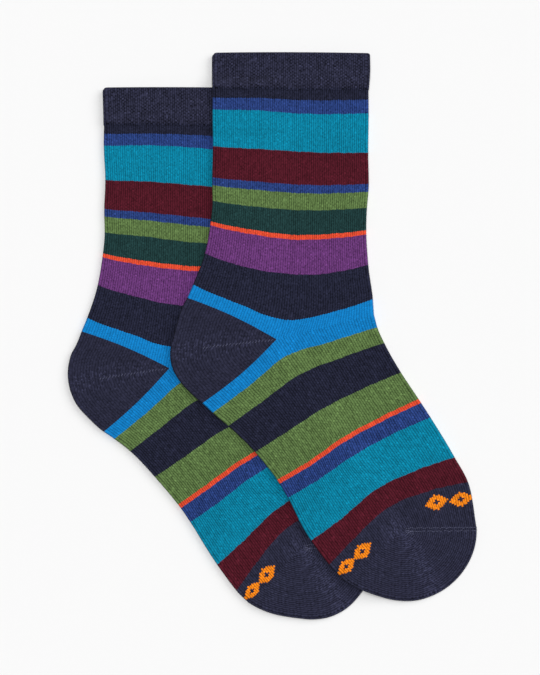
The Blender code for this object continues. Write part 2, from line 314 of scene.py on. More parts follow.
TOP_SOCK = SockPattern(
    name="top_sock",
    apex=(0.0, 0.0),
    cuff=(
        Course(0, -30.25, 132.2, 6.1, 132.4, 42.5, 132.0, 0.0),
        Course(12, -30.35, 123.5, 6.1, 123.7, 42.6, 123.5, 0.0),
        Course(24, -30.15, 115.0, 6.1, 115.0, 42.0, 115.1, 0.0),
    ),
    leg=(
        Course(0, -30.0, 115.0, 6.1, 115.0, 41.8, 115.1, 0.0),
        Course(12, -30.1, 106.6, 6.1, 105.9, 41.9, 105.6, 0.0),
        Course(38, -29.9, 88.2, 6.1, 86.3, 41.7, 85.4, 0.0),
        Course(59, -30.2, 72.7, 5.9, 70.5, 41.9, 70.1, 0.0),
        Course(73, -30.1, 63.1, 5.8, 60.1, 41.1, 60.6, 0.0),
        Course(89, -31.0, 53.8, 5.6, 48.4, 40.8, 50.5, 0.0),
        Course(114, -33.6, 39.6, 4.7, 29.6, 41.8, 33.9, 0.2),
        Course(141, -38.9, 25.6, 2.4, 9.1, 43.8, 19.2, 0.6),
        Course(154, -41.6, 19.4, -0.6, 0.3, 44.3, 11.8, 1.0, -1.2),
    ),
    foot=(
        Course(0, -34.8, -29.1, -0.6, 0.3, 44.3, 11.8, 1.0, 1.4),
        Course(11, -28.5, -34.8, 4.5, -7.3, 46.0, 5.5, 0.7, 0.2),
        Course(26, -22.25, -40.05, 10.6, -16.0, 49.1, -1.4, 0.3),
        Course(51, -9.9, -52.2, 21.0, -31.9, 56.5, -14.5, 0.0),
        Course(72, 0.0, -64.8, 29.5, -45.2, 64.9, -27.2, 0.0),
        Course(86, 4.8, -72.9, 33.7, -54.4, 70.3, -35.5, 0.0),
        Course(112, 14.8, -91.6, 45.9, -69.6, 81.6, -54.2, 0.0),
        Course(124, 22.9, -102.5, 51.2, -77.2, 87.8, -65.8, 0.2),
        Course(140, 30.5, -110.5, 57.8, -87.5, 91.7, -87.1, 1.0),
    ),
    heel=(
        Reach(163.0, 45.9),
        Reach(172.0, 46.5),
        Reach(180.0, 47.8),
        Reach(187.0, 49.3),
        Reach(194.0, 49.7),
        Reach(205.0, 48.2),
        Reach(212.5, 46.5),
    ),
    toe=(
        Reach(244.0, 32.7),
        Reach(265.0, 32.7),
        Reach(281.0, 33.1),
        Reach(296.0, 33.2),
        Reach(326.0, 33.6),
        Reach(347.0, 33.9),
    ),
    gores=(0.48, 0.55),
    leg_drift=(
        Drift(0, 0.0, 0.0, 0.0, 0.0, 0.0),
        Drift(10, -0.4, -0.5, 0.3, 0.5, 0.0),
        Drift(38, -0.7, -0.6, -0.5, -0.3, -0.7),
        Drift(60, -1.4, -0.7, -0.2, -0.3, -1.0),
        Drift(73, -0.9, 0.0, 0.5, 0.4, 0.0),
        Drift(90, -0.8, -0.5, 0.2, -0.1, 0.3),
        Drift(114, 0.1, 0.0, -0.9, -0.4, -0.9),
        Drift(141, 0.7, -0.8, -0.1, 1.2, 1.1),
        Drift(154, 0.0, 0.0, 0.0, 0.0, 0.0),
    ),
    foot_drift=(
        Drift(0, -0.7, -0.7, -0.7, 0.0, 0.0),
        Drift(11, -2.6, 0.0, -0.1, 0.7, -0.3),
        Drift(26, -0.7, 0.9, -0.2, 0.7, 0.4),
        Drift(51, -0.8, 0.3, -0.3, 0.3, 1.2),
        Drift(74, -0.5, 1.5, 0.0, 0.0, 0.3),
        Drift(86, -0.2, 1.1, -0.5, -0.8, 0.5),
        Drift(112, 1.0, 1.9, -1.2, -0.7, 0.2),
        Drift(124, 1.5, 1.6, -0.1, 0.0, 0.2),
        Drift(140, 0.0, 0.0, 0.0, 0.0, 0.0),
    ),
    creases=(
        Crease(-20.0, 112.9, -8.0, 112.5, 0.9, 0.5),
        Crease(-28.0, 113.3, -23.0, 112.9, 0.9, 0.18),
        Crease(18.0, 112.6, 33.0, 113.0, 1.0, 0.16),
        Crease(42.0, 24.0, 17.0, 9.0, 3.1, 0.30),
        Crease(45.0, 7.0, 22.0, 3.0, 2.6, 0.22),
        Crease(40.0, 41.0, 19.0, 31.0, 3.6, 0.20),
        Crease(-37.0, 27.0, -20.0, 30.0, 2.8, 0.16),
        Crease(-21.0, -39.0, 1.0, -22.0, 3.0, 0.22),
        Crease(-4.0, -56.0, 14.0, -43.0, 3.6, 0.17),
        Crease(60.0, -20.0, 40.0, -30.0, 4.2, 0.15),
        Crease(86.0, -64.0, 64.0, -70.0, 3.2, 0.18),
        Crease(-27.0, 82.0, -4.0, 77.0, 4.6, 0.12),
        Crease(38.0, 97.0, 13.0, 99.0, 5.0, 0.10),
        Crease(40.0, 20.0, 20.0, 10.0, 3.0, 0.22, hidden=True),
        Crease(-20.0, -36.0, 2.0, -20.0, 3.4, 0.18, hidden=True),
        Crease(36.0, 70.0, 14.0, 74.0, 4.2, 0.14, hidden=True),
    ),
)

UNDER_SOCK = SockPattern(
    name="under_sock",
    apex=(-49.9, -13.0),
    cuff=(
        Course(0, -30.9, 129.2, 6.0, 129.3, 42.1, 128.9, 0.0),
        Course(12, -30.6, 120.5, 6.0, 120.5, 42.1, 120.0, 0.0),
        Course(24, -30.4, 111.8, 6.0, 111.6, 42.0, 111.3, 0.0),
    ),
    leg=(
        Course(0, -30.2, 111.8, 6.0, 111.6, 41.6, 111.3, 0.0),
        Course(14, -30.3, 102.3, 6.0, 101.3, 41.4, 100.8, 0.0),
        Course(38, -29.6, 86.0, 6.0, 83.7, 41.2, 83.0, 0.0),
        Course(56, -30.1, 73.1, 6.0, 70.6, 41.0, 69.9, 0.0),
        Course(73, -29.9, 61.6, 5.9, 58.4, 40.8, 58.4, 0.0),
        Course(89, -30.7, 52.7, 5.7, 47.4, 40.8, 48.8, 0.0),
        Course(114, -33.3, 37.4, 4.0, 28.1, 41.8, 33.2, 0.2),
        Course(141, -38.1, 22.8, 1.7, 7.8, 44.3, 20.0, 0.6),
        Course(154, -40.5, 17.0, 0.0, 0.0, 45.3, 13.2, 1.0, -1.1),
    ),
    foot=(
        Course(0, -30.3, -29.3, 0.0, 0.0, 45.3, 13.2, 1.0, 1.0),
        Course(11, -25.0, -32.9, 5.4, -6.8, 47.4, 7.4, 0.8),
        Course(26, -18.25, -38.15, 12.4, -15.2, 50.6, 0.6, 0.3),
        Course(51, -7.3, -49.5, 24.0, -30.2, 58.8, -12.2, 0.0),
        Course(72, 4.3, -63.3, 33.2, -43.0, 67.6, -25.0, 0.0),
        Course(86, 9.3, -70.5, 37.7, -52.0, 73.2, -33.0, 0.0),
        Course(112, 22.2, -90.9, 50.5, -66.7, 85.9, -50.6, 0.0),
        Course(124, 29.9, -101.4, 56.1, -74.0, 91.6, -61.8, 0.2),
        Course(140, 36.3, -108.0, 61.0, -82.3, 95.4, -81.6, 1.0),
    ),
    heel=(
        Reach(161.5, 43.9),
        Reach(167.0, 44.5),
        Reach(172.0, 45.8),
        Reach(176.5, 46.4),
        Reach(183.5, 47.0),
        Reach(190.5, 47.0),
        Reach(200.0, 46.2),
        Reach(212.0, 43.8),
    ),
    toe=(
        Reach(238.0, 34.4),
        Reach(267.0, 33.0),
        Reach(279.0, 33.9),
        Reach(288.0, 34.6),
        Reach(303.5, 35.1),
        Reach(321.0, 34.7),
        Reach(342.0, 34.5),
    ),
    gores=(0.47, 0.58),
    leg_drift=(
        Drift(0, 0.0, 0.0, 0.0, 0.0, 0.0),
        Drift(10, 0.2, -0.7, -0.4, 0.8, 1.4),
        Drift(38, -0.5, -1.6, -1.0, -0.1, 0.5),
        Drift(60, -2.0, -1.9, -0.8, 0.6, 1.4),
        Drift(73, -1.0, -1.2, 0.3, 1.2, 1.6),
        Drift(90, 0.1, -0.1, 0.4, 1.1, 1.5),
        Drift(114, -1.2, -1.9, -1.0, -0.7, -0.6),
        Drift(141, -0.4, -3.0, -2.4, -1.8, -1.5),
        Drift(154, 0.0, 0.0, 0.0, 0.0, 0.0),
    ),
    foot_drift=(
        Drift(0, 0.0, 0.0, 0.0, 0.0, 0.0),
        Drift(11, -0.4, 1.1, 0.0, -0.7, -1.1),
        Drift(26, 0.8, 1.5, 0.0, -0.1, -0.3),
        Drift(51, 1.4, 0.8, -1.2, -1.6, -2.0),
        Drift(74, -0.4, 0.3, -1.0, -1.4, -1.7),
        Drift(86, 1.0, 0.8, -1.9, -2.8, -3.4),
        Drift(112, 0.0, 0.6, -2.4, -3.9, -4.7),
        Drift(124, 1.8, 0.8, -1.7, -3.1, -3.9),
        Drift(140, 0.0, 0.0, 0.0, 0.0, 0.0),
    ),
    creases=(
        Crease(-27.0, 110.2, -12.0, 109.4, 1.0, 0.20),
        Crease(2.0, 109.3, 11.0, 109.1, 0.9, 0.15),
        Crease(-30.0, 66.0, -8.0, 60.0, 3.8, 0.16),
        Crease(-36.0, 30.0, -18.0, 27.0, 3.0, 0.20),
        Crease(-27.0, 92.0, -6.0, 89.0, 4.8, 0.12),
        Crease(-17.0, -37.0, 6.0, -21.0, 3.0, 0.22),
        Crease(-3.0, -54.0, 20.0, -40.0, 3.6, 0.16),
        Crease(14.0, -76.0, 34.0, -62.0, 4.0, 0.13),
        Crease(42.0, -100.0, 56.0, -90.0, 2.8, 0.15),
        Crease(42.0, 22.0, 20.0, 12.0, 3.0, 0.20, hidden=True),
        Crease(-16.0, -34.0, 8.0, -22.0, 3.2, 0.16, hidden=True),
        Crease(-26.0, 74.0, -6.0, 70.0, 4.0, 0.12, hidden=True),
    ),
)


def smoothstep(share: np.ndarray) -> np.ndarray:
    """An even rise from 0 to 1 as share goes from 0 to 1."""
    share = np.clip(share, 0.0, 1.0)
    return share * share * (3.0 - 2.0 * share)


def through(knots: np.ndarray, values: np.ndarray, at: np.ndarray) -> np.ndarray:
    """Read a smooth curve that passes through every knot.

    Args:
        knots: Rising places of the knots.
        values: One value, or row of values, for each knot.
        at: Places to read.

    Returns:
        The values there.
    """
    slopes = np.gradient(values, knots, axis=0)
    index = np.clip(np.searchsorted(knots, at, side="right") - 1, 0, len(knots) - 2)
    span = knots[index + 1] - knots[index]
    u = (at - knots[index]) / span
    if values.ndim > 1:
        span = span[:, None]
        u = u[:, None]
    start = (2 * u**3 - 3 * u**2 + 1) * values[index]
    leave = (u**3 - 2 * u**2 + u) * span * slopes[index]
    end = (3 * u**2 - 2 * u**3) * values[index + 1]
    arrive = (u**3 - u**2) * span * slopes[index + 1]
    return start + leave + end + arrive


def courses(table: Sequence[Course], at: np.ndarray) -> np.ndarray:
    """Courses at the given numbers, through the ones in the table.

    Args:
        table: Courses as they lie.
        at: Course numbers.

    Returns:
        A row each: back, mid and front points in metres, then the corner and the sag in metres.
    """
    rows = np.array([tuple(course) for course in table])
    read = through(rows[:, 0], rows[:, 1:], at)
    read[:, :6] *= MM
    read[:, 7] *= MM
    return read


def ring_wales(closed: bool) -> np.ndarray:
    """Wale counts of a row's columns, finer on the near panel than on the far one.

    Args:
        closed: True for a whole ring from the back fold over the near panel and under the far
            one; False for a pocket's strip from the near apex over the fold to the far apex.

    Returns:
        Rising counts, from 0 to a whole ring's or a strip's last wale.
    """
    panel = WALES // 2 if closed else HALF_PANEL
    near = np.linspace(0, panel, panel * NEAR_STEPS + 1)
    far = np.linspace(panel, 2 * panel, panel * FAR_STEPS + 1)
    return np.concatenate([near, far[1:]])


@dataclass
class HalfLine:
    """A line in plan from a fold to the mid wale, read by distance from the fold.

    Attributes:
        points: Points along the line.
        samples: How many points a line is worked out with.
        corner_reach: How far along a course its corner at the mid wale is rounded.
        corner_blunting: How much the corner is blunted there.
    """

    points: np.ndarray

    samples: ClassVar[int] = 49
    corner_reach: ClassVar[float] = 0.12
    corner_blunting: ClassVar[float] = 3.0

    @classmethod
    def of_course(cls, row: np.ndarray, front: bool) -> "HalfLine":
        """The back or the front half of a course.

        Args:
            row: back, mid and front points in metres, then the corner and the sag in metres.
            front: Whether to start from the front fold.

        Returns:
            The line from that fold to the mid wale.
        """
        back, mid, end = row[:6].reshape(3, 2)
        share = np.linspace(0.0, 0.5, cls.samples)[:, None]
        if front:
            share = 1.0 - share
        bow = (
            2.0 * (share - 0.5) * (share - 1.0) * back
            + 4.0 * share * (1.0 - share) * mid
            + 2.0 * share * (share - 0.5) * end
        )
        sag = 0.0 if front else row[7]
        bent = cls.bent(end if front else back, mid, sag).points
        near_mid = np.exp(-(((share - 0.5) / cls.corner_reach) ** 2))
        corner = max(row[6], 0.0) ** (1.0 + cls.corner_blunting * near_mid)
        return cls((1.0 - corner) * bow + corner * bent)

    @classmethod
    def bent(cls, start: np.ndarray, end: np.ndarray, sag: float) -> "HalfLine":
        """A nearly straight line whose middle lies off to its right by the sag.

        Args:
            start: Where it starts.
            end: Where it ends.
            sag: How far off.

        Returns:
            The line.
        """
        way = end - start
        right = np.array([way[1], -way[0]]) / np.linalg.norm(way)
        share = np.linspace(0.0, 1.0, cls.samples)[:, None]
        return cls(start + share * way + np.sin(math.pi * share) * sag * right)

    @cached_property
    def run(self) -> np.ndarray:
        """How far along the line each of its points lies."""
        strides = np.linalg.norm(np.diff(self.points, axis=0), axis=1)
        return np.concatenate([[0.0], np.cumsum(strides)])

    @property
    def length(self) -> float:
        """How long the line is."""
        return float(self.run[-1])

    def at(self, distance: np.ndarray) -> np.ndarray:
        """Points at the given distances from the fold.

        Args:
            distance: How far along each point lies.

        Returns:
            Rows of x and y.
        """
        x = np.interp(distance, self.run, self.points[:, 0])
        y = np.interp(distance, self.run, self.points[:, 1])
        return np.stack([x, y], axis=1)


@dataclass(frozen=True)
class Wall:
    """The cloth of a tube that is pressed flat.

    Attributes:
        thickness: How thick the cloth is.
        gap: How far apart the two panels are inside.
        crown: How much the near panel swells at its middle.
        press: The power on a fold's sine and cosine: 1 for a round fold, less for a squarer one.
    """

    thickness: float
    gap: float = 0.6 * MM
    crown: float = 0.5 * MM
    press: float = 0.55

    @property
    def fold_centre(self) -> float:
        """How far a fold's centre lies in from its rim, and up from the floor."""
        return self.thickness + self.gap / 2

    @property
    def fold_radius(self) -> float:
        """The radius of a fold in the middle of its wall."""
        return (self.thickness + self.gap) / 2

    def wrap(
        self, line: HalfLine, share: np.ndarray, near: np.ndarray, offset: np.ndarray
    ) -> np.ndarray:
        """Lay points of half a ring of knitting round a fold and along its panels.

        Args:
            line: The half course in plan.
            share: 0 at the fold's rim, 1 at the mid wale.
            near: Whether each point is on the near panel's side.
            offset: How far out from the middle of the wall each point lies.

        Returns:
            The points, in metres.
        """
        quarter = math.pi / 2 * self.fold_radius
        path = share * (quarter + line.length - self.fold_centre)
        turn = np.minimum(path / self.fold_radius, math.pi / 2)
        radius = self.fold_radius + offset
        flat = np.maximum(path - quarter, 0.0)
        distance = self.fold_centre + flat - radius * np.cos(turn) ** self.press
        rise = self.crown * np.sin(math.pi / 2 * flat / (line.length - self.fold_centre))
        height = radius * np.sin(turn) ** self.press
        above = self.fold_centre + height + rise
        below = self.fold_centre - height
        return np.column_stack([line.at(distance), np.where(near, above, below)])


@dataclass(frozen=True)
class Relief:
    """How the wales stand up.

    Attributes:
        depth: How deep the valley between two wales is.
        middle_dip: How far a wale sinks along its middle, between its stitches' legs.
        valley_power: How narrow the valley is.
        dip_power: How narrow the dip is.
    """

    depth: float = 0.2 * MM
    middle_dip: float = 0.04 * MM
    valley_power: float = 1.5
    dip_power: int = 6

    def inward(self, wale: np.ndarray) -> np.ndarray:
        """How far the outside lies below its crests at each wale count.

        Args:
            wale: Wale counts.

        Returns:
            Depths in metres.
        """
        phase = 2 * math.pi * wale
        valley = 0.5 - 0.5 * np.cos(phase)
        middle = np.maximum(np.cos(phase), 0.0) ** self.dip_power
        return self.depth * valley**self.valley_power + self.middle_dip * middle


@dataclass(frozen=True)
class Dents:
    """The creases and the slight swell of a sock's panels, in millimetres.

    Attributes:
        swell: How far the swell stands up or down.
        across: How long its waves along X are.
        across_sway: How much those waves sway, and over what length along Y.
        along: How long its waves along Y are.
        along_sway: How much those waves sway, and over what length along X.
        crease_end: The share of a crease's length at which each of its ends stops fading.
        far_share: How much of a dent shows on the far panel.
        clear_wales: How many wales from a fold the dents reach their full depth.
    """

    swell: float = 0.05
    across: float = 4.3
    across_sway: tuple[float, float] = (1.3, 11.0)
    along: float = 6.1
    along_sway: tuple[float, float] = (0.7, 8.0)
    crease_end: float = 0.03
    far_share: float = 0.5
    clear_wales: float = 4.0

    def swelling(self, x: np.ndarray, y: np.ndarray) -> np.ndarray:
        """How far the swell stands up at each place.

        Args:
            x: Places along X, in millimetres.
            y: Places along Y.

        Returns:
            Heights in millimetres.
        """
        sway, length = self.across_sway
        across = np.sin(x / self.across + sway * np.sin(y / length))
        sway, length = self.along_sway
        along = np.sin(y / self.along + sway * np.sin(x / length))
        return self.swell * (across * along)

    def press(
        self,
        points: np.ndarray,
        creases: Sequence[Crease],
        from_fold: np.ndarray,
        near: np.ndarray,
    ) -> np.ndarray:
        """Press the dents into the panels, and none into the folds.

        Args:
            points: Points from the heel's apex, in metres.
            creases: The sock's creases.
            from_fold: How many wales from its fold each point lies.
            near: Whether each point is on the near panel's side.

        Returns:
            The pressed points. The far panel's never go below where they lay.
        """
        places = points[:, :2] / MM
        drop = -self.swelling(places[:, 0], places[:, 1])
        for crease in creases:
            drop = drop + (near != crease.hidden) * crease.drop(places, self.crease_end)
        pressed = points.copy()
        inwards = np.where(near, -1.0, self.far_share) * smoothstep(from_fold / self.clear_wales)
        pressed[:, 2] += inwards * np.where(near, drop, np.maximum(drop, 0.0)) * MM
        return pressed


@dataclass
class Lay:
    """Where a sock lies on the floor, and how another sock below lifts it.

    Attributes:
        place: Its heel's apex in plan, in the pair's frame.
        below: The outline in plan of the sock below, if there is one.
        welt_end: The Y at which the welt below meets its leg.
        mouth: The Y at which the sock below ends.
        body_rise: How far the sock below lifts this one.
        welt_rise: How much further the welt below does.
        welt_step: How long a slope leads up to that welt.
        fall_start: How far beyond the outline below this sock stays up.
        fall_width: How wide a slope leads down beside the sock below.
        mouth_fall: How long a slope leads down beyond that sock's mouth.
        chunk: How many points are laid at a time.
    """

    place: np.ndarray
    below: np.ndarray | None = None
    welt_end: float = 0.0
    mouth: float = 0.0
    body_rise: float = 4.0 * MM
    welt_rise: float = 1.15 * MM
    welt_step: float = 6.0 * MM
    fall_start: float = 0.8 * MM
    fall_width: float = 14.0 * MM
    mouth_fall: float = 7.5 * MM
    chunk: int = 8000

    def depth_inside(self, points: np.ndarray) -> np.ndarray:
        """How far each point lies inside the outline below, negative outside it.

        Args:
            points: Rows of x and y, in metres.

        Returns:
            Depths in metres.
        """
        start = self.below
        side = np.roll(start, -1, axis=0) - start
        keep = np.linalg.norm(side, axis=1) > TINY
        start, side = start[keep], side[keep]
        to_point = points[:, None, :] - start[None]
        along = (to_point * side).sum(axis=2) / (side * side).sum(axis=1)
        nearest = start + side * np.clip(along, 0.0, 1.0)[:, :, None]
        distance = np.linalg.norm(points[:, None, :] - nearest, axis=2).min(axis=1)
        above = start[:, 1] > points[:, None, 1]
        above_end = (start + side)[:, 1] > points[:, None, 1]
        level = np.where(side[:, 1] == 0.0, 1.0, side[:, 1])
        crossing = start[:, 0] + (points[:, None, 1] - start[:, 1]) * side[:, 0] / level
        hits = (above != above_end) & (points[:, None, 0] < crossing)
        return np.where(hits.sum(axis=1) % 2 == 1, distance, -distance)

    def down(self, points: np.ndarray) -> np.ndarray:
        """Move a sock's points from its own frame to where they lie.

        Args:
            points: Points from the heel's apex, in metres.

        Returns:
            The points in the pair's frame.
        """
        laid = points.copy()
        laid[:, :2] += self.place
        if self.below is None:
            return laid
        for first in range(0, len(laid), self.chunk):
            some = laid[first : first + self.chunk]
            welt = smoothstep(1 + (some[:, 1] - self.welt_end) / self.welt_step)
            beside = (self.depth_inside(some[:, :2]) + self.fall_start) / self.fall_width
            beyond = (self.mouth - some[:, 1]) / self.mouth_fall
            fall = smoothstep(1.0 + np.minimum(beside, beyond))
            some[:, 2] += (self.body_rise + self.welt_rise * welt) * fall
        return laid


@dataclass
class Shell:
    """A section's cloth as a grid that goes down the outside and back up the inside.

    Attributes:
        points: Rows by columns of points, in the pair's frame.
        starts: Wale and course counts at each point, for the faces that start at its row.
        ends: The same for the faces that end at its row.
        merge_distance: How close two points are before they become one.
        smooth_angle: The angle between faces up to which they look smooth, in degrees.
    """

    points: np.ndarray
    starts: np.ndarray
    ends: np.ndarray
    merge_distance: float = 0.004 * MM
    smooth_angle: float = 55.0

    def to_object(self, name: str) -> bpy.types.Object:
        """Model the shell from a grid, shaped and closed.

        Args:
            name: The piece's name.

        Returns:
            The finished object, smooth and with its stitch counts as an attribute.
        """
        rows, columns = self.points.shape[:2]
        bpy.ops.object.select_all(action="DESELECT")
        bpy.ops.mesh.primitive_grid_add(
            x_subdivisions=columns - 1, y_subdivisions=rows - 1, size=1.0, calc_uvs=True
        )
        shell = bpy.context.object
        shell.name = name
        mesh = shell.data
        mesh.name = name
        flat = np.empty(len(mesh.vertices) * 3, np.float32)
        mesh.vertices.foreach_get("co", flat)
        spots = flat.reshape(-1, 3)
        column = np.rint((spots[:, 0] + 0.5) * (columns - 1)).astype(int)
        row = np.rint((spots[:, 1] + 0.5) * (rows - 1)).astype(int)
        mesh.vertices.foreach_set("co", self.points[row, column].astype(np.float32).ravel())
        self.count_stitches(mesh, row, column)
        bpy.ops.object.mode_set(mode="EDIT")
        bpy.ops.mesh.select_all(action="SELECT")
        bpy.ops.mesh.remove_doubles(threshold=self.merge_distance)
        bpy.ops.mesh.normals_make_consistent(inside=False)
        bpy.ops.object.mode_set(mode="OBJECT")
        bpy.ops.object.shade_smooth_by_angle(angle=math.radians(self.smooth_angle))
        return shell

    def count_stitches(self, mesh: bpy.types.Mesh, row: np.ndarray, column: np.ndarray) -> None:
        """Write each face corner's wale and course counts to the attribute 'stitch'.

        Args:
            mesh: The grid.
            row: Each vertex's row.
            column: Each vertex's column.
        """
        corners = np.empty(len(mesh.loops), np.int32)
        mesh.loops.foreach_get("vertex_index", corners)
        first_corners = np.empty(len(mesh.polygons), np.int32)
        mesh.polygons.foreach_get("loop_start", first_corners)
        own_row = row[corners]
        own_column = column[corners]
        lowest = np.minimum.reduceat(own_row, first_corners)
        sides = np.diff(np.append(first_corners, len(corners)))
        at_end = own_row > np.repeat(lowest, sides)
        ends = self.ends[own_row, own_column]
        counts = np.where(at_end[:, None], ends, self.starts[own_row, own_column])
        layer = mesh.attributes.new("stitch", "FLOAT_VECTOR", "CORNER")
        padded = np.column_stack([counts, np.zeros(len(counts))])
        layer.data.foreach_set("vector", padded.astype(np.float32).ravel())


@dataclass
class Section:
    """A section of a sock: its cloth's form, its stitch counts and what it stands for.

    Attributes:
        pattern: The sock's knitting.
        lay: Where the sock lies.
        part: Which section it is.
        cut: Its knitting laid out flat; not used.
        lies_on: The sections of a sock below that it rests on; not used.
        slot: Its material slot; not used.
        wall: Its cloth.
        relief: How its wales stand up.
        dents: How its panels are dented.
        inner_rows: Rows of points on its inside.
    """

    pattern: SockPattern
    lay: Lay
    part: Part
    cut: Cut
    lies_on: tuple[Part, ...]
    slot: Slot
    wall: Wall = Wall(1.3 * MM)
    relief: Relief = Relief()
    dents: Dents = Dents()
    inner_rows: int = 14

    @property
    def node(self) -> str:
        """The solid that this section dresses."""
        return f"{self.pattern.name}_{self.part.title}"

    def shell(self) -> Shell:
        """Work out the section's cloth."""
        raise NotImplementedError

    def sewing(self) -> list[Bar]:
        """The raised loops of sewing on the near panel."""
        return []

    def laid(self, points: np.ndarray, from_fold: np.ndarray, near: np.ndarray) -> np.ndarray:
        """Dent the points of a row and lay them down.

        Args:
            points: Points from the heel's apex, in metres.
            from_fold: How many wales from its fold each point lies.
            near: Whether each point is on the near panel's side.

        Returns:
            The points in the pair's frame.
        """
        return self.lay.down(self.dents.press(points, self.pattern.creases, from_fold, near))


@dataclass
class Tube(Section):
    """A section whose courses are whole rings: the cuff, the leg or the foot.

    Attributes:
        rows_per_course: Rows of points to a course on its outside.
    """

    rows_per_course: float = 0.66

    @property
    def table(self) -> tuple[Course, ...]:
        """The section's courses."""
        return getattr(self.pattern, self.part.title)

    @property
    def last(self) -> int:
        """The number of the section's last course."""
        return self.table[-1].number

    @property
    def drift(self) -> tuple[Drift, ...]:
        """How the section's knitting lags."""
        return getattr(self.pattern, f"{self.part.title}_drift", ())

    def wall_at(self, number: float) -> Wall:
        """The wall at a course."""
        return self.wall

    def outward(self, number: float, wales: np.ndarray) -> np.ndarray:
        """How far the outside lies from the middle of the wall."""
        return self.wall_at(number).thickness / 2 - self.relief.inward(wales)

    def counts(self, number: float, wales: np.ndarray) -> np.ndarray:
        """The course count of the knitting at each wale of a row.

        Args:
            number: The row's course.
            wales: Wale counts round the row, from the back fold.

        Returns:
            A count for each wale.
        """
        start = self.part.value + number
        if not self.drift:
            return np.full(len(wales), start)
        rows = np.array([tuple(drift) for drift in self.drift])
        lag = through(rows[:, 0], rows[:, 1:], np.array([number]))[0]
        stations = np.linspace(0.0, WALES / 2, len(lag))
        near_wale = np.minimum(wales, WALES - wales)
        return start - through(stations, lag, near_wale)

    def rows(self) -> list[tuple[float, float, bool]]:
        """Course number, share of the thickness and whether it is outside, down and back up.

        Returns:
            The rows in order.
        """
        outer = np.linspace(0.0, self.last, round(self.last * self.rows_per_course) + 1)
        inner = np.linspace(self.last, 0.0, self.inner_rows)
        return [(row, 1.0, True) for row in outer] + [(row, 1.0, False) for row in inner]

    def ring(
        self, plan: np.ndarray, wales: np.ndarray, offset: np.ndarray, wall: Wall
    ) -> np.ndarray:
        """One ring of the tube, laid down.

        Args:
            plan: The course in plan, in metres.
            wales: Wale counts round the ring, from the back fold.
            offset: How far out from the middle of the wall each point lies.
            wall: The wall at this course.

        Returns:
            The ring's points in the pair's frame.
        """
        near = wales <= WALES / 2
        wale = np.where(near, wales, WALES - wales)
        from_fold = HALF_PANEL - np.abs(wale - HALF_PANEL)
        share = from_fold / HALF_PANEL
        back = wall.wrap(HalfLine.of_course(plan, front=False), share, near, offset)
        front = wall.wrap(HalfLine.of_course(plan, front=True), share, near, offset)
        ring = np.where((wale < HALF_PANEL)[:, None], back, front)
        return self.laid(ring, from_fold, near)

    def place(self, number: float, wale: float, lift: float) -> np.ndarray:
        """The point on the near panel at a course and wale, that far above its crests.

        Args:
            number: The course.
            wale: The wale.
            lift: How far above.

        Returns:
            The point in the pair's frame.
        """
        plan = courses(self.table, np.array([number]))[0]
        wall = self.wall_at(number)
        offset = np.full(1, wall.thickness / 2 + lift)
        return self.ring(plan, np.array([wale]), offset, wall)[0]

    def shell(self) -> Shell:
        """Work out the section's cloth.

        Returns:
            The shell.
        """
        wales = ring_wales(closed=True)
        rows = self.rows()
        rows.append(rows[0])
        plans = courses(self.table, np.array([number for number, _, _ in rows]))
        points, stitches = [], []
        for plan, (number, share, outside) in zip(plans, rows):
            wall = self.wall_at(number)
            inside = np.full(len(wales), -wall.thickness / 2)
            offset = (self.outward(number, wales) if outside else inside) * share
            points.append(self.ring(plan, wales, offset, wall))
            stitches.append(np.column_stack([wales, self.counts(number, wales)]))
        return Shell(np.array(points), np.array(stitches), np.array(stitches))


